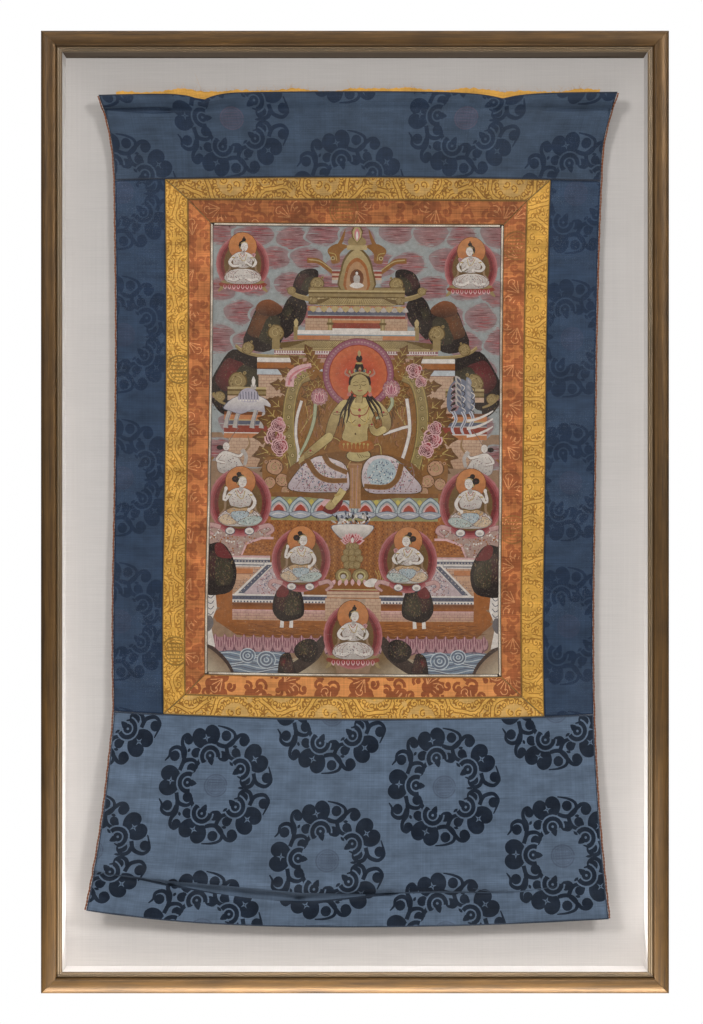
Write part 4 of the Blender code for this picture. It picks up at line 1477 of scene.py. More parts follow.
def glory(page):
    """The goddess's own glory: leaves, flowers, arched bands and the round halo."""
    for _, half in halves(page):
        spots = (
            (-50, 104, 30, 118), (-58, 96, 32, 140), (-66, 88, 32, 158), (-72, 78, 34, 172), (-74, 64, 30, 186),
            (-78, 50, 34, 160), (-82, 40, 34, 140), (-84, 30, 38, 168), (-84, 16, 42, 182), (-84, 4, 44, 196),
            (-82, -8, 40, 208), (-78, -18, 34, 222), (-74, 70, 26, 150), (-90, 24, 36, 132), (-92, 0, 36, 214),
        )
        flame_leaves(half, [(a, b, c * 1.1, d) for a, b, c, d in spots])
        flame_leaves(half, [(a * 0.94, b - 3, c * 0.85, d + 12) for a, b, c, d in spots])
        half.blob(((-74, 78), (-60, 96), (-44, 100), (-36, 84), (-36, 40), (-60, 0), (-80, 20)), LEAF)
        for k in range(8):
            half.stroke(
                ((-72 + 4 * k, 20 + 6 * k), (-62 + 4 * k, 40 + 5 * k), (-66 + 5 * k, 62 + 3 * k)), 0.8, GOLD_LINE, 0.5,
            )
            half.stroke(((-40 - 2 * k, 20 + 4 * k), (-48, 34 + 4 * k), (-44 - 2 * k, 46 + 4 * k)), 1.2, DEEP_LEAF)
        chance = scattered(77)
        for _ in range(150):
            x, y = -chance.uniform(0, 76), chance.uniform(0, 92)
            bend = chance.uniform(-4, 4, 4)
            tint = one_of(chance, (DEEP_LEAF, colour(156, 118, 78), colour(104, 70, 40), colour(160, 108, 86)))
            half.stroke(((x, y), (x + bend[0], y + 4 + bend[1]), (x + bend[2], y + 9 + bend[3])), 0.9, tint, belly=True)
        flame_leaves(half, [(-48, 72, 22, 60 + 33 * k) for k in range(8)])
        # arched band, scaled with gold
        band = ((-62, 96), (-76, 88), (-84, 66), (-87, 34), (-84, 4), (-76, -26), (-70, -46))
        half.stroke(band, 17, DARK_OCHRE, end=15)
        half.stroke(band, 15, Blend(OCHRE, colour(140, 124, 76), (-80, 90), (-72, -40)), end=13)
        line = smooth(band, steps=5)
        for k in range(2, len(line) - 1, 2):
            half.oval(*line[k], 3.3, 3.8, colour(118, 104, 62))
            half.oval(*line[k], 2.2, 2.6, PALE_OCHRE, 0.3)
            half.oval(*line[k], 0.9, 1.1, DARK_OCHRE)
        for away in (-6.2, 6.2):
            half.stroke([(a + away, b) for a, b in band], 0.8, GOLD_LINE, 0.6)
    for _, half in halves(page):
        half.blob(((-116, -12), (-96, -14), (-86, -30), (-84, -58), (-112, -58), (-120, -34)), LEAF)
        for x, y, size, turn in ((-104, -24, 11, 20), (-94, -40, 9, 200), (-110, -44, 8, 90), (-90, -54, 6, 300)):
            swirl(half, x, y, size, turn, False, colour(184, 140, 110), DEEP_LEAF)
    for x, y, size, turn in (
        (-104, 16, 13, 0), (-98, 2, 11, 20), (-100, 30, 10, 50), (99, 14, 13, 10),
        (92, 0, 10, 44), (103, 28, 9, 12), (75, 102, 10, 0), (84, 88, 7.5, 30),
    ):
        peony(page, x, y, size, PINK if turn == 50 else CRIMSON, turn)
    page.stroke(((-86, 80), (-84, 94), (-74, 103), (-58, 108)), 11, PALE_PINK, end=5)
    page.stroke(((-87, 82), (-84, 93), (-74, 101), (-60, 106)), 3, PINK, end=1)
    for k in range(5):
        page.oval(-84 + 6 * k, 88 + 4.2 * k, 1.6, 1.6, colour(170, 110, 120))
    page.oval(3, 97, 46.5, 46.5, colour(120, 60, 62))
    page.oval(3, 97, 45.5, 45.5, Blend(colour(186, 140, 146), colour(146, 88, 104), (3, 97), (48.5, 97), True))
    for k in range(64):
        angle = 2 * math.pi * k / 64
        page.oval(3 + 41.6 * math.cos(angle), 97 + 41.6 * math.sin(angle), 1.5, 1.2, PALE_ROSE, 0, 6)
    page.oval(3, 97, 38.2, 38.2, colour(150, 62, 50))
    page.oval(3, 97, 37, 37, Blend(colour(180, 56, 46), colour(198, 114, 74), (3, 94), (50, 94), True))


def goddess(page):
    """The seated goddess: olive-gold skin, flowered skirts, black hair and a tall crown."""
    # scarves behind
    for points, width in (
        (((-70, 62), (-76, 40), (-77, 16), (-73, -8), (-77, -30)), 3.4),
        (((66, 66), (69, 44), (70, 24), (66, 4), (59, -18)), 4.0),
        (((36, 20), (48, 24), (60, 28), (68, 30)), 3.4),
    ):
        lined(page, points, width, WHITE, colour(130, 100, 92))
    for points in (((-52, 58), (-54, 36), (-62, 12), (-72, -8)), ((46, 70), (47, 58), (38, 46), (26, 40))):
        lined(page, points, 3.8, colour(172, 174, 142), colour(104, 104, 72), 2.6)
    blossom(page, -47, 68, 11)
    blossom(page, 46, 79, 11.5)
    # seat cushion and the sashes round the lap
    page.blob(
        ((-88, -30), (-60, -10), (0, -2), (60, -10), (88, -34), (70, -58), (0, -66), (-76, -58)), colour(122, 82, 44),
    )
    for k in range(12):
        a = -80 + 14 * k
        page.stroke(((a, -56), (a + 6, -46), (a + 2, -36)), 1.4, DEEP_LEAF)
    for points in (
        ((-40, -2), (-30, 14), (-10, 2), (6, -6), (30, 6), (34, -12)), ((-50, -50), (-20, -44), (-8, -20), (4, -2)),
    ):
        page.stroke(points, 8, BROWN_SASH, end=5)
        page.stroke([(a, b + 1.5) for a, b in points], 1.2, GOLD_LINE, 0.5)
    # skirts: two knees and the fold between them
    flowers = (COLD_BLUE, colour(150, 86, 92), colour(112, 132, 112), colour(120, 90, 110))
    shapes = (
        (
            (-88, -51), (-78, -32), (-64, -17), (-46, -8), (-28, -12), (-12, -20), (-6, -40), (-10, -54), (-36, -56),
            (-66, -56),
        ),
        ((10, -20), (22, -8), (42, -7), (58, -15), (72, -30), (87, -47), (82, -56), (50, -57), (18, -56), (8, -42)),
    )
    for number, points in enumerate(shapes):
        page.blob(points, OUTLINE)
        middle = np.mean(points, 0)
        inner = middle + (np.array(points) - middle) * 0.965
        page.blob(
            inner,
            Blend(colour(214, 198, 196), colour(176, 160, 164), (float(middle[0]), -12), (float(middle[0]), -60)),
        )
        wide, high = np.ptp(inner, 0) / 2
        inside = within(*middle, wide * 0.86, high * 0.84)
        low, top = middle - (wide, high), middle + (wide, high)
        speckle(page, low[0], low[1], top[0], top[1], flowers, 5 + number, 430, 1.0, inside)
        for k in range(5):
            a = middle[0] + (k - 2) * wide * 0.36
            page.stroke(
                ((a, middle[1] + high * 0.7), (a + 4, middle[1]), (a - 5, middle[1] - high * 0.72)), 0.8,
                colour(148, 116, 116),
            )
    page.oval(34, -30, 19, 19, colour(170, 182, 184))
    speckle(page, 18, -46, 50, -14, (SLATE, WHITE, COLD_BLUE), 9, 110, 1.0, within(34, -30, 17, 17))
    for points in (
        ((-62, -14), (-50, -32), (-34, -40), (-10, -40)), ((-40, -8), (-32, -20), (-10, -30)),
        ((60, -18), (54, -38), (40, -48), (12, -47)),
    ):
        lined(page, points, 6, colour(124, 84, 46), colour(160, 116, 70), 5)
    for y in (-53.5, -50.5):
        for k in range(26):
            page.oval(-86 + 6.9 * k, y, 0.8, 0.8, (DEEP_RUST, WINE)[k % 2], 0, 6)
    # the lowered leg and foot, and the tucked one
    lined(page, ((-15, -52), (-20, -60), (-28, -71)), 9.5, LIT_SKIN, OUTLINE, 7, 1.5)
    page.stroke(((-27, -70), (-36, -76)), 7.6, SKIN, end=5)
    page.stroke(((-19, -57), (-26, -60)), 3.0, GOLD_LINE, 0.6)
    edged(page, ((-12, -6), (2, 4), (18, -2), (20, -10), (6, -16), (-8, -14)), colour(184, 166, 116), OUTLINE, 0.91)
    for k in range(5):
        page.stroke(((2 + 3.4 * k, -5 - k), (6 + 3.2 * k, -11 + 0.4 * k)), 0.6, OUTLINE, steps=1)
    page.fill(((-9, -18), (9, -18), (7, -30), (8, -76), (-7, -76), (-6, -30)), colour(172, 128, 88))
    for k in range(5):
        page.stroke(
            ((-7 + 3.4 * k, -20), (-6 + 2.8 * k, -46), (-6.5 + 3 * k, -74)), 0.7,
            (colour(140, 98, 66), PALE_ROSE)[k % 2],
        )
    page.box(-9, -24, 9, -20, colour(156, 110, 72))
    # torso, turned a little
    body = (
        (-14, 62), (-4, 67), (14, 68), (26, 62), (24, 44), (16, 26), (16, 12), (8, 4), (-8, 6), (-18, 14), (-14, 30),
        (-18, 46),
    )
    edged(page, body, Blend(LIT_SKIN, SKIN, (0, 60), (14, 8)), OUTLINE)
    page.oval(-7, 40, 6.4, 6.0, LIT_SKIN)
    page.oval(11, 42, 6.4, 6.0, LIT_SKIN)
    page.stroke(((-12, 38), (-6, 34), (0, 38)), 0.7, OUTLINE)
    page.stroke(((6, 40), (12, 36), (18, 40)), 0.7, OUTLINE)
    page.oval(0, 20, 1.1, 1.5, OUTLINE)
    # arms
    for points, wide, end in (
        (((-14, 58), (-26, 42), (-32, 24), (-34, 16)), 13, 10),
        (((-34, 16), (-46, 6), (-58, -4), (-66, -10)), 11, 7),
        (((26, 58), (38, 44), (40, 30), (34, 24)), 12, 9),
        (((36, 26), (28, 22), (22, 26), (20, 36)), 9, 5),
    ):
        lined(page, points, wide, Blend(LIT_SKIN, SHADED_SKIN, points[0], points[-1]), OUTLINE, end, 1.4)
        page.oval(*points[0], wide * 0.47, wide * 0.47, LIT_SKIN)
        page.oval(*points[-1], end * 0.47, end * 0.47, SHADED_SKIN)
    for k in range(4):
        page.stroke(((-66, -9 - 1.5 * k), (-73, -13 - 2 * k)), 2.1, SKIN, end=1.4, steps=1)
        page.stroke(((20 - 1.6 * k, 33), (21 - 3 * k, 42 - abs(k - 1))), 1.8, SKIN, end=1.2, steps=1)
    for a, b, c, d in ((-24, 46, 6, 2.2), (-58, -4, 4.4, 1.8), (36, 46, 6, 2.2), (21, 31, 3.4, 1.5)):
        page.oval(a, b, c, d, OUTLINE)
        page.oval(a, b, c * 0.9, d * 0.7, PALE_OCHRE, 0.6)
        page.oval(a, b + d, 1.5, 1.5, CRIMSON)
    # shawl ends, belt and necklaces
    page.blob(((-18, 12), (0, 8), (18, 12), (24, 2), (6, -4), (-20, 0)), RUST)
    for k in range(7):
        page.oval(-15 + 5.2 * k, 8 - 0.5 * abs(k - 3), 1.6, 1.6, GOLD_LINE, 0.6)
        page.stroke(((-15 + 5.2 * k, 7), (-15 + 5.2 * k, 1)), 0.7, GOLD_LINE, 0.5, steps=1)
    for drop, tint in ((52, GOLD_LINE), (44, colour(150, 84, 60)), (32, GOLD_LINE)):
        page.stroke(((-10, 63), (-5, drop + 2), (6, drop), (14, drop + 3), (20, 64)), 1.3, tint, 0.4)
        page.oval(5, drop - 1, 2, 2.2, CRIMSON)
    # hair over the shoulders
    for points in (
        ((-4, 72), (-10, 60), (-18, 48), (-22, 30)), ((-6, 70), (-12, 56), (-14, 44), (-17, 28)),
        ((-2, 68), (-8, 56), (-9, 44), (-12, 34)), ((16, 72), (24, 64), (32, 54), (35, 42)),
        ((15, 70), (22, 60), (28, 50), (31, 38)), ((14, 68), (18, 58), (22, 50), (26, 40)),
    ):
        page.stroke(points, 3.4, INK, end=0.6)
        page.stroke([(a + 0.6, b) for a, b in points], 0.4, colour(96, 84, 66))
    # neck, head and crown
    page.stroke(((4, 60), (5, 72)), 9, OUTLINE)
    page.stroke(((4, 60), (5, 72)), 7.6, SKIN)
    page.oval(5, 86, 14.6, 16, INK)
    page.oval(4, 105, 6.2, 7, INK)
    page.oval(4, 117, 4.4, 5, INK)
    face(page.at(5, 83, 1, 4), 0, 0, 12.2, 14, colour(180, 158, 108), OUTLINE)
    for side in (-1, 1):
        page.oval(5 + side * 13, 78, 2.3, 5.2, PALE_OCHRE, 0.5)
        page.oval(5 + side * 13.6, 71, 2.8, 2.8, colour(190, 120, 110))
        page.stroke(((5 + side * 13, 94), (5 + side * 19, 98), (5 + side * 17, 104)), 3, colour(172, 128, 112), end=0.8)
    page.stroke(((-7, 95), (5, 99), (17, 95)), 3.2, DARK_OCHRE)
    page.stroke(((-7, 95.4), (5, 99.4), (17, 95.4)), 2.2, PALE_OCHRE, 0.6)
    for k in range(-2, 3):
        x, y = 5 + 5.8 * k, 98.5 - 0.9 * abs(k)
        page.petal(x, y, 8.4 - abs(k), 4.6, 90 - 11 * k, DARK_OCHRE)
        page.petal(x, y + 0.4, 7 - abs(k), 3.4, 90 - 11 * k, PALE_OCHRE, 0.6)
        page.oval(x - 0.5 * k * 0.4, y + 3.4, 1.3, 1.7, (CRIMSON, colour(70, 100, 116))[k % 2])
    page.petal(4, 119, 9, 4.4, 90, PALE_OCHRE, 0.6)
    page.oval(4, 111, 5, 1.4, GOLD_LINE, 0.6)


def throne(page):
    """The lotus throne and the woven ground below it, with the bowl, the lotus and the gold gifts."""
    page.box(-150, -222, 150, -56, Blend(RUST, colour(134, 84, 42), (0, -86), (0, -200)))
    for row, y in enumerate(np.arange(-90, -178, -3.4)):
        for x in np.arange(-112 + 2 * (row % 2), 112, 5.2):
            page.petal(x, y, 3.4, 1.6, 62 if row % 2 else 118, (DEEP_RUST, colour(176, 120, 66))[(row + int(x)) % 2])
    page.box(-108, -64, 108, -56, colour(128, 84, 44))
    page.box(-108, -92, 108, -62, colour(150, 146, 100))
    for x in np.arange(-98, 100, 28):
        for size, paint in (
            (1.0, SLATE), (0.94, colour(176, 186, 184)), (0.74, colour(112, 126, 134)), (0.64, DIM_WHITE),
            (0.54, PALE_PINK), (0.44, colour(164, 68, 52)),
        ):
            petal = page.at(x, -80, size)
            petal.blob(((-15, -2), (-13, 8), (-7, 15), (0, 19), (7, 15), (13, 8), (15, -2), (0, -6)), paint)
        page.petal(x + 14, -64, 7, 6, -90, colour(196, 178, 92))
        page.blob(((x - 15, -83), (x, -79), (x + 15, -83), (x + 10, -88), (x, -90), (x - 10, -88)), SLATE)
        page.blob(((x - 14, -83), (x, -80), (x + 14, -83), (x + 9, -87), (x, -89), (x - 9, -87)), colour(168, 170, 176))
        page.stroke(((x - 8, -85), (x, -83), (x + 8, -85)), 0.8, WHITE)
    page.stroke(((-40, -76), (-30, -80), (-22, -74), (-18, -64), (-24, -58)), 8, WINE, end=4)
    page.stroke(((-42, -72), (-36, -66), (-28, -60), (-20, -60)), 6, PALE_PINK, end=3)
    page.blob(((-38, -74), (-30, -78), (-22, -70), (-18, -60), (-28, -62)), SKIN)
    # bowl of gifts
    chance = scattered(90)
    for k in range(46):
        x, y = chance.uniform(-24, 20), chance.uniform(-98, -84)
        page.petal(x, y, chance.uniform(4, 9), 2.6, chance.uniform(20, 160), (SLATE, WHITE, INK, DIM_WHITE)[k % 4])
    edged(
        page, ((-29, -98), (0, -96), (25, -98), (21, -108), (9, -117), (-2, -119), (-14, -117), (-25, -108)),
        Blend(WHITE, DIM_WHITE, (0, -100), (0, -112)), SLATE,
    )
    for angle, size in ((170, 16), (152, 16), (28, 16), (10, 16), (132, 15), (48, 15), (112, 14), (68, 14), (90, 13)):
        page.petal(-2, -120, size, 8.4, angle, PALE_PINK, point=0.2)
        page.petal(-2, -120, size * 0.84, 5.6, angle, (CRIMSON, colour(176, 74, 78))[angle % 4 == 0], point=0.2)
    page.petal(-2, -121, 8, 4, 90, WHITE)
    for y, half in ((-126, 5), (-133, 9), (-141, 12), (-149, 8)):
        for k in (-1, 0, 1):
            swirl(page, -2 + k * half * 0.8, y, 5.2, 40 * k, k > 0)
    for x in (-13, 9):
        page.oval(x, -163, 11, 10, DARK_OCHRE)
        page.oval(x, -163, 10, 9, OCHRE)
        page.oval(x, -163, 7, 6.4, DULL_GOLD, 0.3)
        page.oval(x, -163, 5, 4.4, DARK_OCHRE)
        page.oval(x, -164, 3.6, 3.2, DIM_WHITE)
    for k in range(7):
        page.petal(-28 + 9 * k, -176, 9, 5, 60 + 10 * k, PALE_PINK)
    page.blob(((14, -172), (24, -166), (36, -170), (30, -176), (18, -177)), WHITE)
    for k in range(3):
        page.stroke(((26 + 3 * k, -178), (32 + 3 * k, -166), (28 + 4 * k, -156)), 0.9, GOLD_LINE, 0.5)


def terraces(page):
    """The walled garden at the front: slabs, stairs, floor, petals, water and rocks."""
    for _, half in halves(page):
        half.box(-192, -192, -108, -100, colour(172, 144, 132))
        speckle(half, -190, -138, -110, -102, (WHITE, ROSE, RUST, DIM_WHITE), 19, 260, 1.3)
        half.fill(((-146, -138), (-140, -122), (-120, -114), (-104, -114), (-104, -138)), PALE_PINK)
        half.fill(((-144, -138), (-138, -124), (-119, -117), (-104, -117), (-104, -138)), RUST)
        for y in np.arange(-134, -119, 2.6):
            for x in np.arange(-140, -106, 4.4):
                half.oval(x + y % 2, y, 1.3, 0.8, (DEEP_RUST, colour(186, 124, 70))[int(x + y) % 2], 0, 6)
        layers(
            half, -162, -108, -139, (2.0, PALE_PINK), (2.6, WHITE), (3.6, SLATE), (2.6, WHITE), (1.4, SLATE),
            (1.4, WHITE),
        )
        for x in np.arange(-160, -110, 4):
            half.oval(x, -145.6, 1.2, 1.0, DIM_WHITE, 0, 6)
        bricks(half, -156, -192, -106, -153, 3.4, colour(196, 156, 130))
        layers(half, -156, -130, -155, (6.5, ORANGE), (1.0, MORTAR), (6, colour(204, 160, 128)))
        half.fill(((-146, -190), (-104, -152), (-64, -152), (-64, -190)), colour(190, 170, 170))
        speckle(half, -124, -188, -98, -156, (colour(150, 96, 92), colour(108, 112, 130), WHITE), 17, 110, 0.9)
        half.fill(((-154, -188), (-112, -147), (-100, -147), (-142, -188)), WHITE)
        half.fill(((-149, -187), (-112, -150), (-105, -150), (-141, -187)), SLATE)
        for k in range(9):
            half.oval(-145 + 4.4 * k, -185 + 4.1 * k, 0.9, 0.9, DIM_WHITE, 0, 5)
            half.oval(-151 + 4.4 * k, -181 + 4.1 * k, 0.8, 0.8, SLATE, 0, 5)
        layers(
            half, -156, -34, -188, (2.0, WHITE), (5.0, SLATE), (3.4, WHITE), (1.2, MORTAR),
            (8, Blend(DEEP_RUST, RUST, (0, -200), (0, -208))), (1.0, PALE_PINK),
        )
        for x in np.arange(-154, -36, 4.2):
            half.oval(x, -192.5, 1.0, 0.9, colour(70, 72, 84), 0, 5)
            half.box(x, -198.4, x + 2.0, -196.4, SLATE)
        bricks(half, -156, -222, -34, -208.6, 3.2, colour(200, 160, 148), colour(150, 104, 104))
        half.box(-34, -222, 0, -181, colour(176, 150, 128))
        layers(
            half, -34, 0, -180, (1.6, PALE_OCHRE), (1.6, BEAM), (3.4, BRICK), (1.0, MORTAR), (3.4, BRICK), (1.2, RUST),
        )
        bricks(half, -36, -240, -16, -192, 4.4)
        half.fill(
            ((-184, -184), (-156, -180), (-156, -224), (-176, -224), (-182, -214), (-172, -206), (-184, -202)), RUST,
        )
    page.fill(
        ((-178, -222), (-156, -221), (156, -221), (182, -222), (160, -242), (60, -246), (-60, -246), (-150, -240)),
        Blend(RUST, colour(120, 72, 34), (0, -221), (0, -245)),
    )
    chance = scattered(7)
    for _ in range(150):
        x, y = chance.uniform(-160, 160), chance.uniform(-241, -224)
        tint = one_of(chance, (DEEP_RUST, colour(176, 112, 58)))
        page.stroke(
            ((x, y), (x + 8, y + chance.uniform(-1, 2)), (x + 16, y + chance.uniform(-3, 3))), 0.8, tint, steps=2,
            belly=True,
        )
    # a fringe of folded lotus petals
    page.box(-178, -262, 170, -243, colour(160, 118, 124))
    for row, y in ((0, -240), (1, -245)):
        for x in np.arange(-178 + 6 * row, 170, 12.4):
            page.petal(x, y, 19, 12.5, -90, colour(112, 72, 84), point=0.5)
            page.petal(x, y + 0.8, 18, 10.6, -90, colour(178, 136, 138), point=0.5)
            page.petal(x, y + 1.4, 13, 6.0, -90, colour(140, 92, 102), point=0.5)
            page.stroke(((x, y), (x, y - 12)), 0.9, PALE_PINK, steps=1)
    # water in rolling arcs
    for _, half in halves(page):
        half.fill(((-176, -261), (-88, -261), (-84, -295), (-160, -295)), WATER)
        for level in range(13):
            y = -262 - 2.5 * level
            x = np.arange(-176 + 1.2 * level, -86, 6.0)
            wave = y + 2.2 * np.sin(x / 9.0 + level * 0.7)
            half.stroke(np.stack((x, wave), 1), 1.0, FOAM if level % 2 else SLATE, steps=2)
        for x, y, size in ((-112, -271, 12), (-136, -266, 10)):
            half.oval(x, y, size, size * 0.9, WATER)
            for k in range(5):
                reach = size * (1 - 0.19 * k)
                angle = np.radians(np.linspace(-30, 300, 14) + 40 * k)
                half.stroke(around(angle, reach, reach * 0.9, x, y), 1.1, (FOAM, SLATE)[k % 2], steps=1)
        half.fill(
            ((-195, -248), (-178, -258), (-162, -274), (-150, -295), (-195, -295)),
            Blend(ROCK, colour(116, 84, 62), (-190, -290), (-168, -262)),
        )
        half.stroke(((-195, -250), (-178, -260), (-162, -276), (-152, -295)), 5, colour(64, 48, 44), end=3)
        half.fill(((-195, -184), (-178, -186), (-176, -206), (-184, -226), (-178, -256), (-195, -250)), WHITE)
        half.blob(((-192, -220), (-184, -216), (-180, -226), (-186, -236), (-194, -232)), colour(110, 104, 104))
        for k in range(4):
            half.stroke(((-190, -190 - 7 * k), (-184, -194 - 7 * k), (-180, -190 - 7 * k)), 1.0, SLATE)
        half.fill(
            ((-96, -295), (-92, -276), (-60, -262), (-40, -246), (-36, -262), (-22, -280), (-20, -295)),
            Blend(ROCK, colour(120, 94, 62), (-70, -292), (-50, -262)),
        )
        half.blob(
            ((-92, -284), (-60, -262), (-40, -240), (-36, -252), (-44, -268), (-62, -282), (-80, -290)),
            colour(60, 48, 44),
        )
        # garden trees on their white stems
        tree(
            half,
            (
                (-192, -126), (-186, -124), (-172, -122), (-160, -134), (-151, -158), (-156, -182), (-172, -189),
                (-192, -184),
            ),
            (BARK, MOSS), 81, 90,
        )
        half.blob(((-180, -126), (-172, -122), (-162, -134), (-158, -142), (-176, -140)), WINE)
        for x in (-92, -80):
            half.stroke(((x, -230), (x + 1, -214)), 5, WHITE, end=4, steps=1)
        tree(
            half,
            (
                (-104, -208), (-101, -188), (-92, -176), (-80, -178), (-70, -180), (-64, -196), (-64, -214),
                (-78, -221), (-94, -221),
            ),
            (BARK, MOSS), 85, 70,
        )
        half.blob(((-99, -190), (-96, -179), (-88, -175), (-83, -184), (-88, -191)), WINE)
        tree(
            half, ((-66, -246), (-54, -244), (-46, -250), (-46, -266), (-56, -274), (-72, -268), (-76, -256)), (MOSS,),
            87, 50,
        )
        tree(half, ((-95, -270), (-90, -263), (-82, -262), (-78, -272), (-74, -292), (-96, -292)), (WINE, BARK), 89, 20)


# Each attendant's place and size, whether it faces the other way, raises a hand, and is plainly dressed
ATTENDANTS = (
    (-147, 238, 0.88, False, False, True),
    (147, 234, 0.88, True, False, True),
    (-148, -70, 1.04, False, True, False),
    (150, -70, 1.04, True, True, False),
    (-68, -143, 0.98, False, True, False),
    (70, -143, 0.98, True, False, False),
    (0, -240, 0.98, False, False, True),
)


def picture():
    """The whole picture, from the sky forward."""
    sketch = Sketch()
    page = sketch.at(0, -454)
    page.box(-200, -300, 200, 300, GROUND)
    for part in (sky, palace, offerings, glory, throne, goddess, terraces):
        part(page)
    for seed, (x, y, size, flip, raised, plain) in enumerate(ATTENDANTS, 1):
        seated(page, x, y, size, seed, flip, raised, plain)
    return sketch


# Shading


def add(tree, kind, inputs=(), **settings):
    """A shader node with its settings made, and each input set or linked."""
    made = tree.nodes.new("ShaderNode" + kind)
    for key, value in settings.items():
        setattr(made, key, value)
    for socket, value in dict(inputs).items():
        if isinstance(value, bpy.types.NodeSocket):
            tree.links.new(value, made.inputs[socket])
        else:
            made.inputs[socket].default_value = value
    return made


def calc(tree, operation, *values):
    return add(tree, "Math", enumerate(values), operation=operation).outputs[0]


def between(tree, value, low, high, to_low=0.0, to_high=1.0):
    """A value carried from one range to another, and held at its ends."""
    ends = {"Value": value, "From Min": low, "From Max": high, "To Min": to_low, "To Max": to_high}
    return add(tree, "MapRange", ends).outputs[0]


def noise(tree, vector, scale, stretch=(1, 1, 1), detail=3.0, rough=0.55):
    placed = add(tree, "Mapping", {"Vector": vector, "Scale": stretch}).outputs[0]
    return add(tree, "TexNoise", {"Vector": placed, "Scale": scale, "Detail": detail, "Roughness": rough}).outputs[0]


def blend(tree, share, first, second, how="MIX"):
    made = tree.nodes.new("ShaderNodeMix")
    made.data_type = "RGBA"
    made.blend_type = how
    for socket, value in ((0, share), (6, first), (7, second)):
        if isinstance(value, bpy.types.NodeSocket):
            tree.links.new(value, made.inputs[socket])
        elif isinstance(value, (float, int)):
            made.inputs[socket].default_value = value
        else:
            made.inputs[socket].default_value = (*value, 1.0)
    return made.outputs[2]


def group(name, inputs, outputs):
    """A node group with a vector input and named numbers, and its sockets inside."""
    tree = bpy.data.node_groups.new(name, "ShaderNodeTree")
    tree.interface.new_socket("Vector", in_out="INPUT", socket_type="NodeSocketVector")
    for label, value in inputs.items():
        tree.interface.new_socket(label, in_out="INPUT", socket_type="NodeSocketFloat").default_value = value
    for label in outputs:
        tree.interface.new_socket(label, in_out="OUTPUT", socket_type="NodeSocketFloat")
    return tree, tree.nodes.new("NodeGroupInput").outputs, tree.nodes.new("NodeGroupOutput").inputs


def placed(tree, name, vector, **values):
    """A node group put into a tree, with its numbers set."""
    made = tree.nodes.new("ShaderNodeGroup")
    made.node_tree = bpy.data.node_groups[name]
    tree.links.new(vector, made.inputs["Vector"])
    for label, value in values.items():
        made.inputs[label].default_value = value
    return made.outputs


def weave_group():
    """Threads over and under, uneven streaks across, fainter ones down, and pale thin flecks."""
    tree, given, out = group("Woven_threads", {"Thread": 0.0006, "Coarse": 1.0}, ("Height", "Streaks", "Flecks"))
    axes = add(tree, "SeparateXYZ", {0: given["Vector"]}).outputs
    turns = calc(tree, "DIVIDE", 2 * math.pi, given["Thread"])
    waves = [calc(tree, "SINE", calc(tree, "MULTIPLY", axis, turns)) for axis in axes[:2]]
    cross = calc(tree, "MULTIPLY", *waves)
    tree.links.new(calc(tree, "MULTIPLY_ADD", cross, 0.5, 0.5), out["Height"])
    weft = noise(tree, given["Vector"], 1.0, (14, 900, 1), 3.0, 0.65)
    warp = noise(tree, given["Vector"], 1.0, (520, 5, 1), 2.0, 0.6)
    slow = noise(tree, given["Vector"], 9.0, (1, 2.2, 1), 3.0)
    streaks = calc(tree, "MULTIPLY_ADD", weft, 0.55, calc(tree, "MULTIPLY", warp, 0.25))
    streaks = calc(tree, "MULTIPLY_ADD", slow, 0.2, streaks)
    tree.links.new(between(tree, streaks, 0.36, 0.64), out["Streaks"])
    flecks = add(tree, "TexVoronoi", {"Vector": given["Vector"], "Scale": 900.0}, feature="F1").outputs["Distance"]
    flecks = calc(tree, "MULTIPLY", between(tree, flecks, 0.22, 0.05), between(tree, slow, 0.4, 0.65))
    tree.links.new(calc(tree, "MULTIPLY", flecks, given["Coarse"]), out["Flecks"])


def grime_group():
    """Soft patches where dust has settled or hands have rubbed."""
    tree, given, out = group("Settled_dust", {"Scale": 6.0}, ("Patches", "Specks"))
    made = add(tree, "TexNoise", {"Vector": given["Vector"], "Scale": given["Scale"], "Detail": 5.0, "Roughness": 0.6})
    tree.links.new(between(tree, made.outputs[0], 0.42, 0.68), out["Patches"])
    fine = noise(tree, given["Vector"], 420.0, (1, 1, 1), 2.0)
    tree.links.new(between(tree, fine, 0.62, 0.74), out["Specks"])


def start_material(name):
    made = bpy.data.materials.new(name)
    made.use_nodes = True
    tree = made.node_tree
    return made, tree, tree.nodes["Principled BSDF"]


def surface(tree, shader, base, rough, height, strength, distance):
    """Gives a shader its colour, its roughness and its raised grain."""
    tree.links.new(base, shader.inputs["Base Color"])
    if isinstance(rough, bpy.types.NodeSocket):
        tree.links.new(rough, shader.inputs["Roughness"])
    else:
        shader.inputs["Roughness"].default_value = rough
    bump = add(tree, "Bump", {"Height": height, "Strength": strength, "Distance": distance})
    tree.links.new(bump.outputs[0], shader.inputs["Normal"])


def drawn_marks(tree):
    """The flat cut's own map, the drawn colours, and how figured or gilded each place is."""
    cut = add(tree, "UVMap", uv_map="Cut").outputs[0]
    pigment = add(tree, "Attribute", attribute_name="pigment").outputs["Color"]
    return cut, pigment, add(tree, "Attribute", attribute_name="figure").outputs["Fac"]


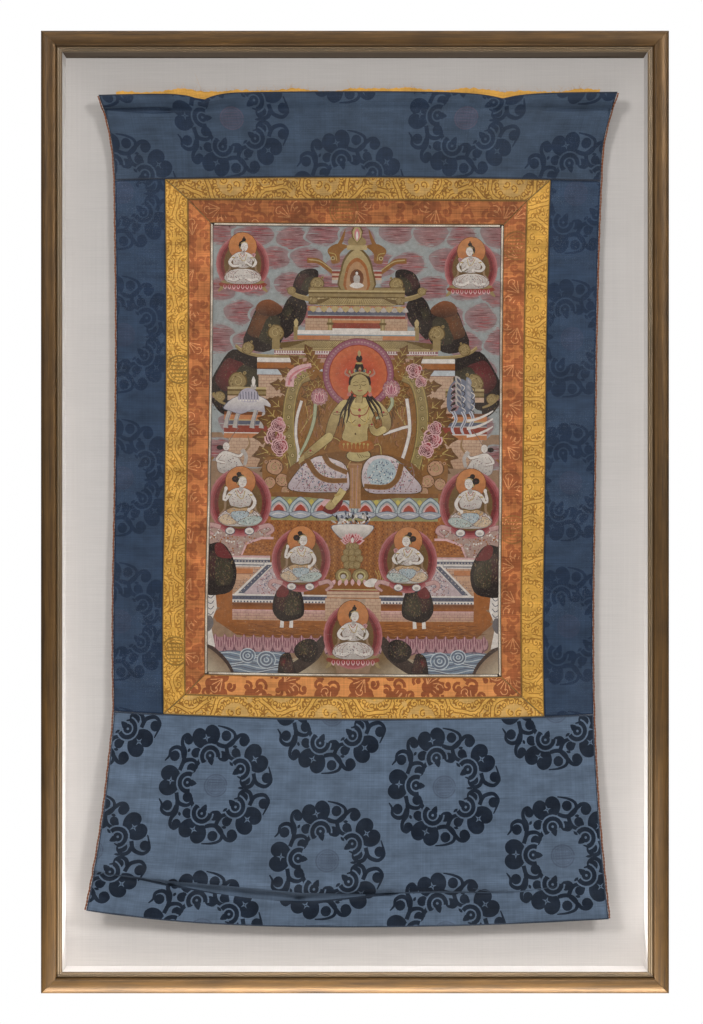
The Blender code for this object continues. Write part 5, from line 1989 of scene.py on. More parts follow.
def silk(name, ground, strength=1.0, rough=0.62, sheen=0.1, fleck=0.0, dull=(0.25, 0.22, 0.2), painted_shade_factor=1.0):
    """Figured silk: the ground colour, the woven figure, streaks of uneven thread, age, and a painted shade factor that
    darkens the whole piece.
    """
    made, tree, shader = start_material(name)
    cut, pigment, figure = drawn_marks(tree)
    threads = placed(tree, "Woven_threads", cut, Thread=0.0007)
    dust = placed(tree, "Settled_dust", cut, Scale=7.0)
    twill = placed(tree, "Woven_threads", cut, Thread=0.0017)["Height"]
    uneven = between(tree, noise(tree, cut, 60.0, (1, 1, 1), 3.0), 0.3, 0.7, 0.92, 1.0)
    uneven = calc(tree, "MULTIPLY", uneven, between(tree, twill, 0.5, 1, 1, 0.87))
    base = blend(tree, calc(tree, "MULTIPLY", figure, uneven), ground, pigment)
    patchy, streaky = 0.2 * strength, 0.26 * strength
    broad = noise(tree, cut, 34.0, (1, 1.6, 1), 4.0, 0.6)
    # the painted shade factor scales the whole colour darker
    broad = between(tree, broad, 0.32, 0.68, painted_shade_factor * (1 - patchy), painted_shade_factor * (1 + patchy))
    base = blend(tree, 1.0, base, broad, "MULTIPLY")
    streaks = between(tree, threads["Streaks"], 0, 1, 1 - streaky, 1 + streaky)
    base = blend(tree, 1.0, base, streaks, "MULTIPLY")
    base = blend(tree, calc(tree, "MULTIPLY", dust["Patches"], 0.06), base, dull)
    if fleck:
        base = blend(tree, calc(tree, "MULTIPLY", threads["Flecks"], fleck), base, (0.35, 0.4, 0.48))
    gloss = calc(tree, "MULTIPLY_ADD", threads["Streaks"], -0.08, rough)
    gloss = calc(tree, "MULTIPLY_ADD", figure, -0.08, gloss)
    height = calc(tree, "MULTIPLY_ADD", figure, 0.25, threads["Height"])
    surface(tree, shader, base, gloss, height, 0.30, 0.00025)
    shader.inputs["Sheen Weight"].default_value = sheen
    shader.inputs["Sheen Roughness"].default_value = 0.45
    shader.inputs["Specular IOR Level"].default_value = 0.18
    return made


VARNISH = (0.19, 0.12, 0.075)


def canvas_paint():
    """Distemper on sized cotton: the drawn pigments, a trace of weave, wear, and dull gold lines."""
    made, tree, shader = start_material("painted_canvas")
    cut, pigment, gilding = drawn_marks(tree)
    threads = placed(tree, "Woven_threads", cut, Thread=0.0006)
    dust = placed(tree, "Settled_dust", cut, Scale=14.0)
    mottle = between(tree, noise(tree, cut, 150.0, (1, 1, 1), 4.0, 0.65), 0.3, 0.7, 0.74, 1.06)
    base = blend(tree, 1.0, blend(tree, 0.04, pigment, VARNISH), mottle, "MULTIPLY")
    worn = noise(tree, cut, 700.0, (1, 1, 1), 3.0, 0.7)
    base = blend(tree, between(tree, worn, 0.54, 0.66, 0, 0.34), base, VARNISH)
    base = blend(tree, 1.0, base, between(tree, threads["Height"], 0, 1, 0.82, 1.02), "MULTIPLY")
    base = blend(tree, calc(tree, "MULTIPLY", dust["Patches"], 0.12), base, (0.30, 0.25, 0.20))
    base = blend(tree, calc(tree, "MULTIPLY", dust["Specks"], 0.25), base, (0.42, 0.36, 0.30))
    tree.links.new(calc(tree, "MULTIPLY", gilding, 0.55), shader.inputs["Metallic"])
    gloss = calc(tree, "MULTIPLY_ADD", gilding, -0.4, 0.85)
    surface(tree, shader, base, gloss, threads["Height"], 0.25, 0.0002)
    shader.inputs["Specular IOR Level"].default_value = 0.25
    return made


def gilt(dye, worn, bead_rub_and_highlight):
    """Aged gilding over wood: rubbed streaks along the length, a dark toning in the hollows, and a lighter band on the
    beads that is partly rubbed gilding and partly a painted highlight.
    """
    made, tree, shader = start_material("gilt_wood")
    grain = add(tree, "UVMap", uv_map="Grain").outputs[0]
    place = add(tree, "TexCoord").outputs["Object"]
    streak = noise(tree, grain, 1.0, (16, 1900, 1), 4.0, 0.65)
    broad = noise(tree, grain, 1.0, (9, 210, 1), 4.0, 0.6)
    dust = placed(tree, "Settled_dust", place, Scale=16.0)
    rubbed = calc(tree, "MULTIPLY_ADD", streak, 0.55, calc(tree, "MULTIPLY", broad, 0.45))
    share = between(tree, rubbed, 0.36, 0.64)
    base = blend(tree, share, worn, dye)
    base = blend(tree, calc(tree, "MULTIPLY", dust["Patches"], 0.35), base, worn)
    depth = add(tree, "SeparateXYZ", {0: grain}).outputs[1]
    # a lighter band over the beads: partly rubbed gilding, partly a painted highlight
    bead = calc(tree, "MULTIPLY", between(tree, depth, 0.0232, 0.0245), 0.16)
    shader.inputs["Metallic"].default_value = 0.45
    gloss = between(tree, share, 0, 1, 0.58, 0.42)
    surface(tree, shader, blend(tree, bead, base, bead_rub_and_highlight), gloss, rubbed, 0.25, 0.0004)
    return made


def linen(name, dye, card):
    """Plain linen over board: slubby threads both ways, painted shade that darkens it towards the top and lightens it
    towards the bottom, and bare card on the back.
    """
    made, tree, shader = start_material(name)
    place = add(tree, "TexCoord").outputs["Object"]
    flat = add(tree, "Mapping", {"Vector": place, "Rotation": (math.radians(90), 0, 0)}).outputs[0]
    threads = placed(tree, "Woven_threads", flat, Thread=0.0009)
    dust = placed(tree, "Settled_dust", place, Scale=3.0)
    base = blend(tree, 1.0, dye, between(tree, threads["Streaks"], 0, 1, 0.93, 1.05), "MULTIPLY")
    base = blend(tree, calc(tree, "MULTIPLY", dust["Patches"], 0.05), base, (0.42, 0.38, 0.33))
    _, depth, height = add(tree, "SeparateXYZ", {0: place}).outputs
    # painted shade and light: darker towards the top, lighter towards the bottom
    base = blend(tree, 1.0, base, between(tree, height, -0.6, 0.6, 1.2, 0.84), "MULTIPLY")
    fibre = noise(tree, place, 300.0, (1, 1, 1), 4.0)
    back = blend(tree, 1.0, card, between(tree, fibre, 0.3, 0.7, 0.85, 1.1), "MULTIPLY")
    base = blend(tree, between(tree, depth, -0.0012, -0.0008), base, back)
    height = calc(tree, "MULTIPLY_ADD", threads["Streaks"], 0.5, threads["Height"])
    surface(tree, shader, base, 0.95, height, 0.25, 0.0003)
    shader.inputs["Specular IOR Level"].default_value = 0.15
    return made


def thread(name, dye, deep):
    """Spun cord: fibres along it, and darker where it is soiled."""
    made, tree, shader = start_material(name)
    place = add(tree, "TexCoord").outputs["Object"]
    fibre = noise(tree, place, 900.0, (1, 1, 1), 3.0)
    dust = placed(tree, "Settled_dust", place, Scale=30.0)
    base = blend(tree, calc(tree, "MULTIPLY", dust["Patches"], 0.7), dye, deep)
    base = blend(tree, 1.0, base, between(tree, fibre, 0.3, 0.7, 0.7, 1.2), "MULTIPLY")
    surface(tree, shader, base, 0.9, fibre, 0.4, 0.0003)
    return made


# Modelling


def clear_selection():
    for obj in bpy.context.view_layer.objects:
        obj.select_set(False)


def dress(obj, made, slot, *nodes):
    """Gives a finished piece its material and its body, and hides the CAD nodes it stands for. The slot is not used."""
    obj.data.materials.clear()
    obj.data.materials.append(made)
    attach(obj, "root")
    if nodes:
        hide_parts(*nodes)
    return obj


class Corner(NamedTuple):
    """A corner of the moulding's section, in millimetres: in from its outer side, out from the wall."""

    inward: float
    forward: float


FACE = (
    Corner(0, 44),
    Corner(0.5, 46.6),
    Corner(2.5, 49.4),
    Corner(6.5, 51.4),
    Corner(10.5, 52.0),
    Corner(15.0, 51.6),
    Corner(18.6, 50.2),
    Corner(20.1, 47.0),
    Corner(20.2, 44.4),
)


class Bead(NamedTuple):
    """A round bead on the moulding, in millimetres."""

    inward: float
    forward: float
    radius: float


BEADS = (Bead(21.9, 44.9, 1.3), Bead(24.9, 45.1, 1.1))
MOULDING_WIDTH, RABBET, LIP_FRONT, LIP_BACK = 27, 20, 46, 43


def moulding_section():
    line = [(0, 0), *smooth([tuple(corner) for corner in FACE], steps=4).tolist()]
    for bead in BEADS:
        for angle in np.radians(np.linspace(180, 0, 11)):
            line.append((bead.inward + bead.radius * math.cos(angle), bead.forward + bead.radius * math.sin(angle)))
    line += [(MOULDING_WIDTH, LIP_FRONT), (MOULDING_WIDTH, LIP_BACK), (RABBET, LIP_BACK), (RABBET, 0)]
    return np.array(line)


def rail(name, length, half_across, turn):
    """A mitred rail: its section is extruded along X, cut at both ends, and turned into its place."""
    section = moulding_section()
    clear_selection()
    bpy.ops.mesh.primitive_circle_add(vertices=len(section), radius=0.01, fill_type="NGON")
    obj = bpy.context.object
    obj.name = name
    for vertex, (inward, forward) in zip(obj.data.vertices, section, strict=True):
        vertex.co = (-length / 2, -forward * MM, half_across - inward * MM)
    bpy.ops.object.mode_set(mode="EDIT")
    bpy.ops.mesh.select_all(action="SELECT")
    bpy.ops.mesh.extrude_region_move(TRANSFORM_OT_translate={"value": (length, 0, 0)})
    bpy.ops.mesh.select_all(action="SELECT")
    bpy.ops.mesh.normals_make_consistent(inside=False)
    for side in (-1, 1):
        bpy.ops.mesh.select_all(action="SELECT")
        bpy.ops.mesh.bisect(
            plane_co=(side * (length / 2 - 0.2 * MM), 0, half_across),
            plane_no=(side, 0, -1),
            use_fill=True,
            clear_outer=True,
        )
    bpy.ops.object.mode_set(mode="OBJECT")
    grain = obj.data.uv_layers.new(name="Grain")
    for loop, texel in zip(obj.data.loops, grain.data, strict=True):
        place = obj.data.vertices[loop.vertex_index].co
        texel.uv = (place.x + turn / 37, (half_across - place.z) * 1.0 + (place.y + 0.05) * 0.7)
    obj.rotation_euler = (0, math.radians(turn), 0)
    bpy.ops.object.transform_apply(location=True, rotation=True, scale=True)
    bpy.ops.object.shade_smooth_by_angle(angle=math.radians(38))
    return obj


def spun(name, path, radius, plies, pitch, sides=6, core=0.5):
    """A cord of plies that wind round a path, in metres, as one mesh."""
    along = np.gradient(path, axis=0)
    along /= np.linalg.norm(along, axis=1)[:, None]
    run = np.concatenate(([0], np.cumsum(np.linalg.norm(np.diff(path, axis=0), axis=1))))
    across = np.cross(along, (0, 1, 0))
    across /= np.linalg.norm(across, axis=1)[:, None]
    out = np.cross(across, along)
    points, faces = [], []
    for ply in range(plies):
        phase = 2 * math.pi * (run / pitch + ply / plies)
        middle = path + radius * (1 - core) * (np.cos(phase)[:, None] * across + np.sin(phase)[:, None] * out)
        base = len(points) * len(path) * sides
        spins = [phase + 2 * math.pi * side / sides for side in range(sides)]
        ring = [middle + radius * core * (np.cos(s)[:, None] * across + np.sin(s)[:, None] * out) for s in spins]
        points.append(np.stack(ring, 1).reshape(-1, 3))
        for k in range(len(path) - 1):
            for side in range(sides):
                after = (side + 1) % sides
                a, b = base + k * sides, base + (k + 1) * sides
                faces.append((a + side, a + after, b + after, b + side))
        faces.append([base + side for side in range(sides)][::-1])
        faces.append([base + (len(path) - 1) * sides + side for side in range(sides)])
    mesh = bpy.data.meshes.new(name)
    mesh.from_pydata(np.vstack(points).tolist(), [], faces)
    mesh.update()
    obj = linked(name, mesh)
    clear_selection()
    obj.select_set(True)
    bpy.context.view_layer.objects.active = obj
    bpy.ops.object.mode_set(mode="EDIT")
    bpy.ops.mesh.select_all(action="SELECT")
    bpy.ops.mesh.normals_make_consistent(inside=False)
    bpy.ops.object.mode_set(mode="OBJECT")
    bpy.ops.object.shade_smooth_by_angle(angle=math.radians(60))
    return obj


# The cut

YELLOW = ((-246, 109), (246, 109), (246, 794.5), (-246, 794.5))
RED = ((-217, 134.5), (217, 134.5), (217.5, 769.5), (-217.5, 769.5))
WINDOW = ((-188, 163.5), (188, 163.5), (191.5, 744.5), (-191.5, 744.5))
CORD_RADIUS = 1.45
PIPING_RADIUS = 1.3


def strips(outer, inner):
    """The four mitred strips between two edges, with half a gap at every seam."""
    g, m = GAP / 2, GAP * 0.7
    (ax, ay), (bx, by), (cx, cy), (dx, dy) = outer
    (ex, ey), (fx, fy), (hx, hy), (kx, ky) = inner
    return {
        "top": ((ax + g + m, ay + g), (bx - g - m, by + g), (fx + g - m, fy - g), (ex - g + m, ey - g)),
        "bottom": ((kx - g + m, ky + g), (hx + g - m, hy + g), (cx - g - m, cy - g), (dx + g + m, dy - g)),
        "left": ((ax + g, ay + g + m), (ex - g, ey - g + m), (kx - g, ky + g - m), (dx + g, dy - g - m)),
        "right": ((fx + g, fy - g + m), (bx - g, by + g + m), (cx - g, cy - g - m), (hx + g, hy + g - m)),
    }


def oblong(left, right, top, foot):
    g = GAP / 2
    return ((left + g, top + g), (right - g, top + g), (right - g, foot - g), (left + g, foot - g))


BLUE = {
    "top": oblong(-310, 310, 0, 109),
    "left": oblong(-310, -246, 109, 794.5),
    "right": oblong(246, 310, 109, 794.5),
    "bottom": oblong(-310, 310, 794.5, CLOTH_LENGTH),
}


def hang(obj):
    """Returns the piece as it is."""
    return obj


# The add-on


class ScrollSizes(bpy.types.PropertyGroup):
    """Sizes and counts that a user would change."""

    cloth_step: FloatProperty(
        name="Cloth step",
        description="How far apart the cloth's own points lie, in millimetres",
        default=4.5,
        min=2.0,
    )
    cord_pitch: FloatProperty(
        name="Cord pitch", description="The length of one turn of the cord", default=0.0065, unit="LENGTH"
    )
    threads: IntProperty(name="Loose threads", description="Threads frayed from the lining", default=120, min=0)


def dye(label, red, green, blue_share):
    """A colour setting, from screen values."""
    return FloatVectorProperty(
        name=label,
        description=f"Colour of the {label.lower()}",
        subtype="COLOR",
        size=3,
        min=0,
        max=1,
        default=colour(red, green, blue_share),
    )


class ScrollColours(bpy.types.PropertyGroup):
    """The dyes and finishes."""

    foot_silk: dye("Foot silk", 92, 108, 128)
    foot_figure: dye("Foot figure", 2, 16, 34)
    head_silk: dye("Head silk", 58, 72, 90)
    head_figure: dye("Head figure", 14, 30, 52)
    side_silk: dye("Side silk", 48, 64, 86)
    side_figure: dye("Side figure", 14, 32, 56)
    badge: dye("Silk badge", 120, 84, 96)
    foot_badge: dye("Foot badge", 48, 48, 66)
    # painted shade along the seams of the head and foot panels
    seam_shade_colour: dye("Painted seam shade", 34, 34, 42)
    gold_silk: dye("Gold silk", 206, 155, 69)
    gold_figure: dye("Gold figure", 146, 96, 34)
    gold_float: dye("Gold float", 222, 170, 82)
    pale_gold: dye("Pale gold silk", 205, 162, 95)
    red_silk: dye("Red silk", 186, 114, 66)
    red_figure: dye("Red figure", 128, 62, 38)
    red_float: dye("Red float", 218, 152, 102)
    pale_red: dye("Pale red silk", 214, 142, 82)
    old_badge: dye("Border badge", 108, 84, 40)
    cord: dye("Picture cord", 244, 232, 214)
    piping: dye("Side piping", 146, 98, 76)
    rust: dye("Soiled piping", 150, 80, 30)
    lining: dye("Lining", 222, 166, 78)
    gilding: dye("Gilding", 110, 79, 38)
    toning: dye("Gilding toner", 52, 36, 16)
    # the beads' lighter colour: rubbed gilding and a painted highlight
    rubbed: dye("Rubbed gilding", 226, 208, 178)
    linen: dye("Linen", 206, 201, 197)
    # painted shade: a darker copy of the linen, for the top spacer
    shaded_linen: dye("Shaded linen", 92, 80, 68)
    card: dye("Back card", 150, 130, 104)


def settings():
    return bpy.context.scene.scroll_sizes, bpy.context.scene.scroll_colours


class BuildStep(bpy.types.Operator):
    """A step of the build that shows any fault at once."""

    bl_idname = "scroll.step"
    bl_label = "Step"
    bl_options = {"REGISTER", "UNDO"}

    def execute(self, _context):
        self.build(*settings())
        return {"FINISHED"}


class BuildRails(BuildStep):
    """Builds the four gilt rails of the frame"""

    bl_idname = "scroll.rails"
    bl_label = "Gilt rails"

    def build(self, _sizes, colours):
        half_high, half_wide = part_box("rail_top")[1][2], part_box("rail_right")[1][0]
        finish = gilt(tuple(colours.gilding), tuple(colours.toning), tuple(colours.rubbed))
        for side, half_along, half_across, turn in (
            ("top", half_wide, half_high, 0),
            ("right", half_high, half_wide, 90),
            ("bottom", half_wide, half_high, 180),
            ("left", half_high, half_wide, 270),
        ):
            piece = rail(f"gilt_rail_{side}", 2 * half_along, half_across, turn)
            dress(piece, finish, "gilt_wood", f"rail_{side}")


class CoverBoards(BuildStep):
    """Covers the back board and the spacers with linen"""

    bl_idname = "scroll.linen"
    bl_label = "Linen boards"

    def build(self, _sizes, colours):
        open_linen = linen("linen", tuple(colours.linen), tuple(colours.card))
        shaded = linen("shaded_linen", tuple(colours.shaded_linen), tuple(colours.card))
        for name in ("back_board", "spacer_top", "spacer_bottom", "spacer_left", "spacer_right"):
            for slot in frame["nodes"][name].material_slots:
                # the top spacer gets the darker linen as painted shade
                slot.material = shaded if name == "spacer_top" else open_linen


class Bolt(NamedTuple):
    """How a blue panel is woven, with its strengths from 0 to 1."""

    dyes: str  # the first word of its ground's and its figure's colour settings
    badge: float
    figure: float
    repeat: Repeat
    flecks: float


UPPER_RINGS = Repeat(-11, 125, 145, 185)
BOLTS = {
    "top": Bolt("head", 0.22, 0.85, UPPER_RINGS, 0.35),
    "left": Bolt("side", 0.07, 0.75, UPPER_RINGS, 0.8),
    "right": Bolt("side", 0.07, 0.75, UPPER_RINGS, 0.8),
    "bottom": Bolt("foot", 0.4, 1.0, Repeat(-28, 975, 144.7, 186), 0.1),
}


class HangBlueSilk(BuildStep):
    """Hangs the blue panels at the head, the sides and the foot"""

    bl_idname = "scroll.blue_silk"
    bl_label = "Blue silk"

    def build(self, sizes, colours):
        for side, bolt in BOLTS.items():
            panel = Panel(BLUE[side])
            ground, figure = (tuple(getattr(colours, f"{bolt.dyes}_{part}")) for part in ("silk", "figure"))
            badge = tuple(colours.foot_badge if side == "bottom" else colours.badge)
            # the colour of the painted shade along the panel's seams
            seam_shade = tuple(colours.head_figure if bolt.dyes == "side" else colours.seam_shade_colour)
            shapes = blue_pattern(panel, bolt, figure, badge, ground, seam_shade)
            piece = cloth_piece(f"blue_silk_{side}", panel, shapes, sizes.cloth_step)
            slot = "pale_blue_brocade" if side == "bottom" else "blue_brocade"
            finish = silk(f"blue_silk_{side}", ground, 1.0, 0.66, 0.04, bolt.flecks, (0.15, 0.18, 0.22))
            hang(dress(piece, finish, slot, f"blue_{side}"))


TOP_STRIP_SHADE = 0.72  # painted shade: the top strips' colours are darkened


class Weave(NamedTuple):
    """A strip's own ground, how strong its figure is, and how uneven its threads are."""

    ground: str
    figure: float
    uneven: float


class SewBorder(BuildStep):
    """A border of four mitred strips."""

    def build(self, sizes, colours):
        line, light, badge = (tuple(getattr(colours, name)) for name in (*self.dyes, "old_badge"))
        for number, (side, corners) in enumerate(strips(*self.edges).items()):
            weave = self.weaves.get(side, self.plain)
            shapes = border_pattern(
                self.motif, Panel(corners), line, light, badge, self.badges.get(side, ()), number, weave.figure,
            )
            piece = cloth_piece(f"{self.piece}_border_{side}", Panel(corners), shapes, sizes.cloth_step)
            ground = tuple(getattr(colours, weave.ground))
            # painted shade on the top strips only
            painted_shade_factor = TOP_STRIP_SHADE if side == "top" else 1.0
            finish = silk(f"{self.piece}_silk_{side}", ground, weave.uneven, self.rough, 0.1, 0.0, self.dust, painted_shade_factor)
            hang(dress(piece, finish, f"{self.node}_brocade", f"{self.node}_{side}"))


class SewYellowBorder(SewBorder):
    """Sews the outer border of gold silk"""

    bl_idname = "scroll.yellow_border"
    bl_label = "Gold border"
    piece, node, dyes, edges = "gold", "yellow", ("gold_figure", "gold_float"), (YELLOW, RED)
    motif = WREATHS
    plain = Weave("gold_silk", 0.75, 1.0)
    weaves = {"top": Weave("pale_gold", 0.95, 1.0), "bottom": Weave("pale_gold", 0.95, 1.0)}
    badges = {"left": ((-228, 354), (-229, 716))}
    rough, dust = 0.5, (0.5, 0.36, 0.15)


class SewRedBorder(SewBorder):
    """Sews the inner border of orange-red silk"""

    bl_idname = "scroll.red_border"
    bl_label = "Orange-red border"
    piece, node, dyes, edges = "red", "red", ("red_figure", "red_float"), (RED, WINDOW)
    motif = LOTUSES
    plain = Weave("red_silk", 0.62, 1.7)
    weaves = {"bottom": Weave("pale_red", 0.9, 1.0)}
    badges = {"top": ((-17, 148),), "right": ((205, 190), (205, 556))}
    rough, dust = 0.55, (0.4, 0.2, 0.1)


def inset(corners, by):
    """Corners moved in by a distance, from the top left, clockwise."""
    return tuple((x + by * a, y + by * b) for (x, y), a, b in zip(corners, (1, -1, -1, 1), (1, 1, -1, -1), strict=True))


CANVAS_STEP, CANVAS_BEHIND = 9.0, -0.8


class PaintPicture(BuildStep):
    """Paints the canvas and sets it in its window"""

    bl_idname = "scroll.picture"
    bl_label = "Painted canvas"

    def build(self, _sizes, _colours):
        corners = inset(WINDOW, 2 * CORD_RADIUS + 0.6)
        shapes = picture().shapes
        piece = cloth_piece("painted_canvas", Panel(corners, CANVAS_BEHIND), shapes, CANVAS_STEP, GROUND)
        hang(dress(piece, canvas_paint(), "painted_canvas", "canvas"))


def along_cut(start, end, count, forward=0.0):
    return drape(np.linspace(start[0], end[0], count), np.linspace(start[1], end[1], count), forward)


PIPING_POINTS, PIPING_WOBBLE, PIPING_PITCH = 760, 0.25, 0.009


class SewCords(BuildStep):
    """Sews the cream cord round the picture, and the piping down the outer edges"""

    bl_idname = "scroll.cords"
    bl_label = "Cords and piping"

    def build(self, sizes, colours):
        a, b, c, d = inset(WINDOW, CORD_RADIUS + 0.2)
        short = 2 * CORD_RADIUS + 0.4
        finish = thread("cream_cord", tuple(colours.cord), GROUND)
        for side, start, end in (
            ("top", (a[0] + short, a[1]), (b[0] - short, b[1])),
            ("bottom", (d[0] + short, d[1]), (c[0] - short, c[1])),
            ("left", a, d),
            ("right", b, c),
        ):
            count = int(math.hypot(end[0] - start[0], end[1] - start[1]) / 0.9)
            path = along_cut(start, end, count, 0.5)
            piece = spun(f"picture_cord_{side}", path, CORD_RADIUS * MM, 3, sizes.cord_pitch, 5)
            dress(piece, finish, "cream_cord", f"cord_{side}")
        finish = thread("russet_piping", tuple(colours.piping), tuple(colours.rust))
        line = HALF_WIDTH + PIPING_RADIUS - 0.2
        for side, across in (("left", -line), ("right", line)):
            path = along_cut((across, 2), (across, CLOTH_LENGTH - 1), PIPING_POINTS)
            run = np.arange(PIPING_POINTS)
            path[:, 0] += PIPING_WOBBLE * MM * np.sin(run * 0.37 + 2 * np.sin(run * 0.05))
            piece = spun(f"side_piping_{side}", path, PIPING_RADIUS * MM, 2, PIPING_PITCH, 6, 0.62)
            dress(piece, finish, "russet_piping", f"piping_{side}")


LINING_BEHIND, LINING_DEPTH, LINING_SHOWS, LINING_WAVE = 4.6, 34, 3.6, 2.0


def above_edge(across, drop):
    """How far the lining stands over the brocade's edge, in millimetres: it fills the dips at the ties."""
    filled = sum(tie.dip * np.exp(-np.abs(across - tie.across) / tie.reach) for tie in TIES)
    wave = LINING_WAVE * (np.sin(across / 27) * np.cos(across / 61) + 0.6 * np.sin(across / 11 + 2))
    ragged = 0.6 * np.sin(across / 3.1 + 2 * np.sin(across / 7.3))
    ragged += 0.45 * np.sin(across / 1.1 + 3 * np.sin(across / 9))
    return (LINING_SHOWS + filled * 0.85 + wave + ragged) * (1 - drop / LINING_DEPTH)


class StandLining(BuildStep):
    """Stands the yellow lining up behind the head, with its frayed threads"""

    bl_idname = "scroll.lining"
    bl_label = "Frayed lining"

    def build(self, sizes, colours):
        half = HALF_WIDTH - 20
        corners = ((-half, 0), (half, 0), (half, LINING_DEPTH), (-half, LINING_DEPTH))
        ground = tuple(colours.lining)
        piece = cloth_piece(
            "yellow_lining", Panel(corners, -LINING_BEHIND), [], 3.0, ground, (), 1.0, lift=above_edge
        )
        finish = silk("yellow_lining", ground, 1.0, 0.7, 0.2, 0.0, (0.55, 0.3, 0.08))
        hang(dress(piece, finish, "yellow_lining", "lining_top"))
        chance = np.random.default_rng(11)
        paths = []
        for _ in range(sizes.threads):
            start = float(chance.choice((-190, -120, -75, 15, 60, 175, 235, 262)) + chance.normal() * 16)
            start = max(-half + 2, min(half - 2, start))
            tall = float(chance.gamma(1.6, 2.1)) + 1.0
            lean, bend = chance.normal() * 0.5, chance.normal() * 0.6
            run = np.linspace(0, 1, 7)
            across = start + tall * (lean * run + bend * run**2)
            base = drape(across, np.zeros(7), -LINING_BEHIND + 0.2, ())
            base[:, 2] += (above_edge(np.full(7, start), np.zeros(7)) - 0.6 + tall * run) * MM
            base[:, 1] -= (0.4 + abs(float(chance.normal())) * 1.2 * run) * MM
            paths.append(base)
        fringe = threads_mesh("frayed_threads", paths, 0.16 * MM)
        dress(fringe, thread("frayed_threads", ground, colour(150, 110, 60)), "yellow_lining")


def threads_mesh(name, paths, radius):
    """Loose threads, each a slim three-sided tube with closed ends."""
    points, faces = [], []
    for path in paths:
        base = len(points)
        for k, place in enumerate(path):
            thin = radius * (1 - 0.5 * k / len(path))
            for side in range(3):
                angle = 2 * math.pi * side / 3
                points.append((place[0] + thin * math.cos(angle), place[1] + thin * math.sin(angle), place[2]))
        for k in range(len(path) - 1):
            for side in range(3):
                after = (side + 1) % 3
                a, b = base + 3 * k, base + 3 * k + 3
                faces.append((a + side, a + after, b + after, b + side))
        faces += [
            (base + 2, base + 1, base), (base + 3 * len(path) - 3, base + 3 * len(path) - 2, base + 3 * len(path) - 1),
        ]
    mesh = bpy.data.meshes.new(name)
    mesh.from_pydata(points, [], faces)
    mesh.update()
    mesh.shade_smooth()
    return linked(name, mesh)


class Lamp(NamedTuple):
    """A rectangular lamp: its place, what it faces, its size and its watts."""

    name: str
    place: tuple
    aim: tuple
    size: tuple
    power: float
    rails_only: bool


FLOOR_HEIGHT = -1.45
SKY_STRENGTH = (0.12, 0.62)
LAMPS = (
    Lamp("window_left", (-1.9, -2.4, 1.7), (0, 0, -0.05), (0.7, 0.7), 47, False),
    Lamp("window_right", (2.0, -2.3, 1.6), (0, 0, -0.05), (0.7, 0.7), 41, False),
    Lamp("glow_below", (0, -0.16, -0.78), (0, -0.04, -0.60), (1.0, 0.1), 7.8, True),
    Lamp("glow_foot", (0, -0.30, -0.42), (0, -0.045, -0.59), (0.9, 0.05), 1.2, True),
    Lamp("glow_above", (0, -0.10, 1.10), (0, -0.03, 0.60), (1.2, 0.2), 1.2, True),
)
CAMERA_REACH = 2.5
CAMERA_ASIDE = -0.0044
LONG_SIDE = 1.3005


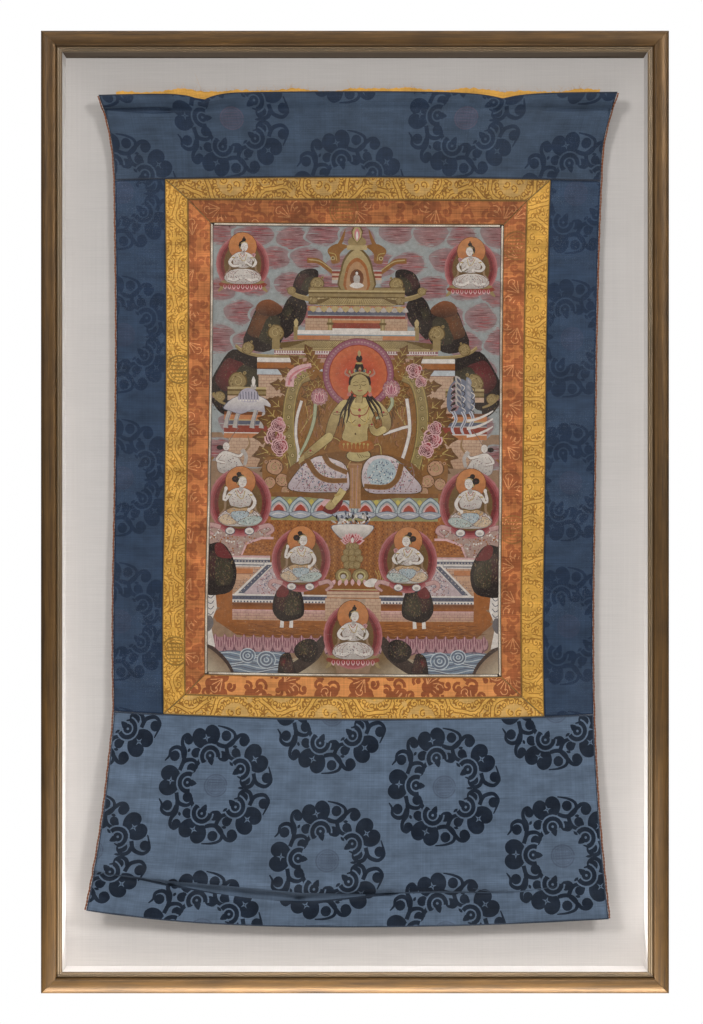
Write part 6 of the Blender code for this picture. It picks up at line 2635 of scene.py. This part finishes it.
class SetStage(BuildStep):
    """Sets the floor, the lights and the camera"""

    bl_idname = "scroll.stage"
    bl_label = "Stage"

    def build(self, _sizes, _colours):
        clear_selection()
        bpy.ops.mesh.primitive_plane_add(size=6, location=(0, 0, FLOOR_HEIGHT))
        floor = bpy.context.object
        floor.name = "studio_floor"
        made, _, shader = start_material("studio_floor")
        shader.inputs["Base Color"].default_value = (0.8, 0.79, 0.78, 1)
        shader.inputs["Roughness"].default_value = 0.9
        floor.data.materials.append(made)
        scene = bpy.context.scene
        scene.view_settings.view_transform = "Standard"
        world = bpy.data.worlds.new("studio")
        scene.world = world
        world.use_nodes = True
        tree = world.node_tree
        tree.nodes.clear()
        way = add(tree, "TexCoord").outputs["Generated"]
        up = add(tree, "SeparateXYZ", {0: way}).outputs[2]
        shade = between(tree, up, -0.1, 0.9, *SKY_STRENGTH)
        seen = add(tree, "LightPath").outputs["Is Camera Ray"]
        strength = calc(tree, "MAXIMUM", shade, seen)
        light = add(tree, "Background", {"Color": (1, 1, 1, 1), "Strength": strength})
        out = tree.nodes.new("ShaderNodeOutputWorld")
        tree.links.new(light.outputs[0], out.inputs[0])
        cloth, rails = (bpy.data.collections.new(name) for name in ("cloth_shadows", "rail_glow"))
        for obj in scene.objects:
            if obj.type == "MESH" and obj != floor:
                framing = obj.name.startswith(("gilt_rail", "spacer"))
                (rails if framing else cloth).objects.link(obj)
        for given in LAMPS:
            lamp = bpy.data.lights.new(given.name, "AREA")
            lamp.shape = "RECTANGLE"
            lamp.size, lamp.size_y = given.size
            lamp.energy = given.power
            obj = linked(given.name, lamp)
            obj.location = given.place
            obj.rotation_euler = (Vector(given.aim) - Vector(given.place)).to_track_quat("-Z", "Y").to_euler()
            if given.rails_only:
                obj.light_linking.receiver_collection = rails
            else:
                obj.light_linking.blocker_collection = cloth
        eye = bpy.data.cameras.new("camera")
        depth = -CAD_BOX[0][1]
        eye.lens = eye.sensor_width * CAMERA_REACH / LONG_SIDE
        eye.clip_end = 50
        obj = linked("camera", eye)
        obj.location = (CAMERA_ASIDE, -(depth + CAMERA_REACH), 0)
        obj.rotation_euler = (math.radians(90), 0, 0)
        scene.camera = obj


STEPS = (
    BuildRails,
    CoverBoards,
    HangBlueSilk,
    SewYellowBorder,
    SewRedBorder,
    PaintPicture,
    SewCords,
    StandLining,
    SetStage,
)


class ScrollPanel(bpy.types.Panel):
    """Lists the settings and the steps of the build"""

    bl_idname = "SCROLL_PT_build"
    bl_label = "Framed scroll painting"
    bl_space_type = "VIEW_3D"
    bl_region_type = "UI"
    bl_category = "Scroll"

    def draw(self, context):
        for settings_of in (context.scene.scroll_sizes, context.scene.scroll_colours):
            column = self.layout.column()
            for name in settings_of.__annotations__:
                column.prop(settings_of, name)
        for step in STEPS:
            self.layout.operator(step.bl_idname)


CLASSES = (ScrollSizes, ScrollColours, *STEPS, ScrollPanel)


def register():
    for item in CLASSES:
        bpy.utils.register_class(item)
    bpy.types.Scene.scroll_sizes = PointerProperty(type=ScrollSizes)
    bpy.types.Scene.scroll_colours = PointerProperty(type=ScrollColours)


def unregister():
    del bpy.types.Scene.scroll_sizes
    del bpy.types.Scene.scroll_colours
    for item in reversed(CLASSES):
        bpy.utils.unregister_class(item)


def main():
    register()
    weave_group()
    grime_group()
    for step in STEPS:
        area, name = step.bl_idname.split(".")
        getattr(getattr(bpy.ops, area), name)()


if __name__ == "__main__":
    main()
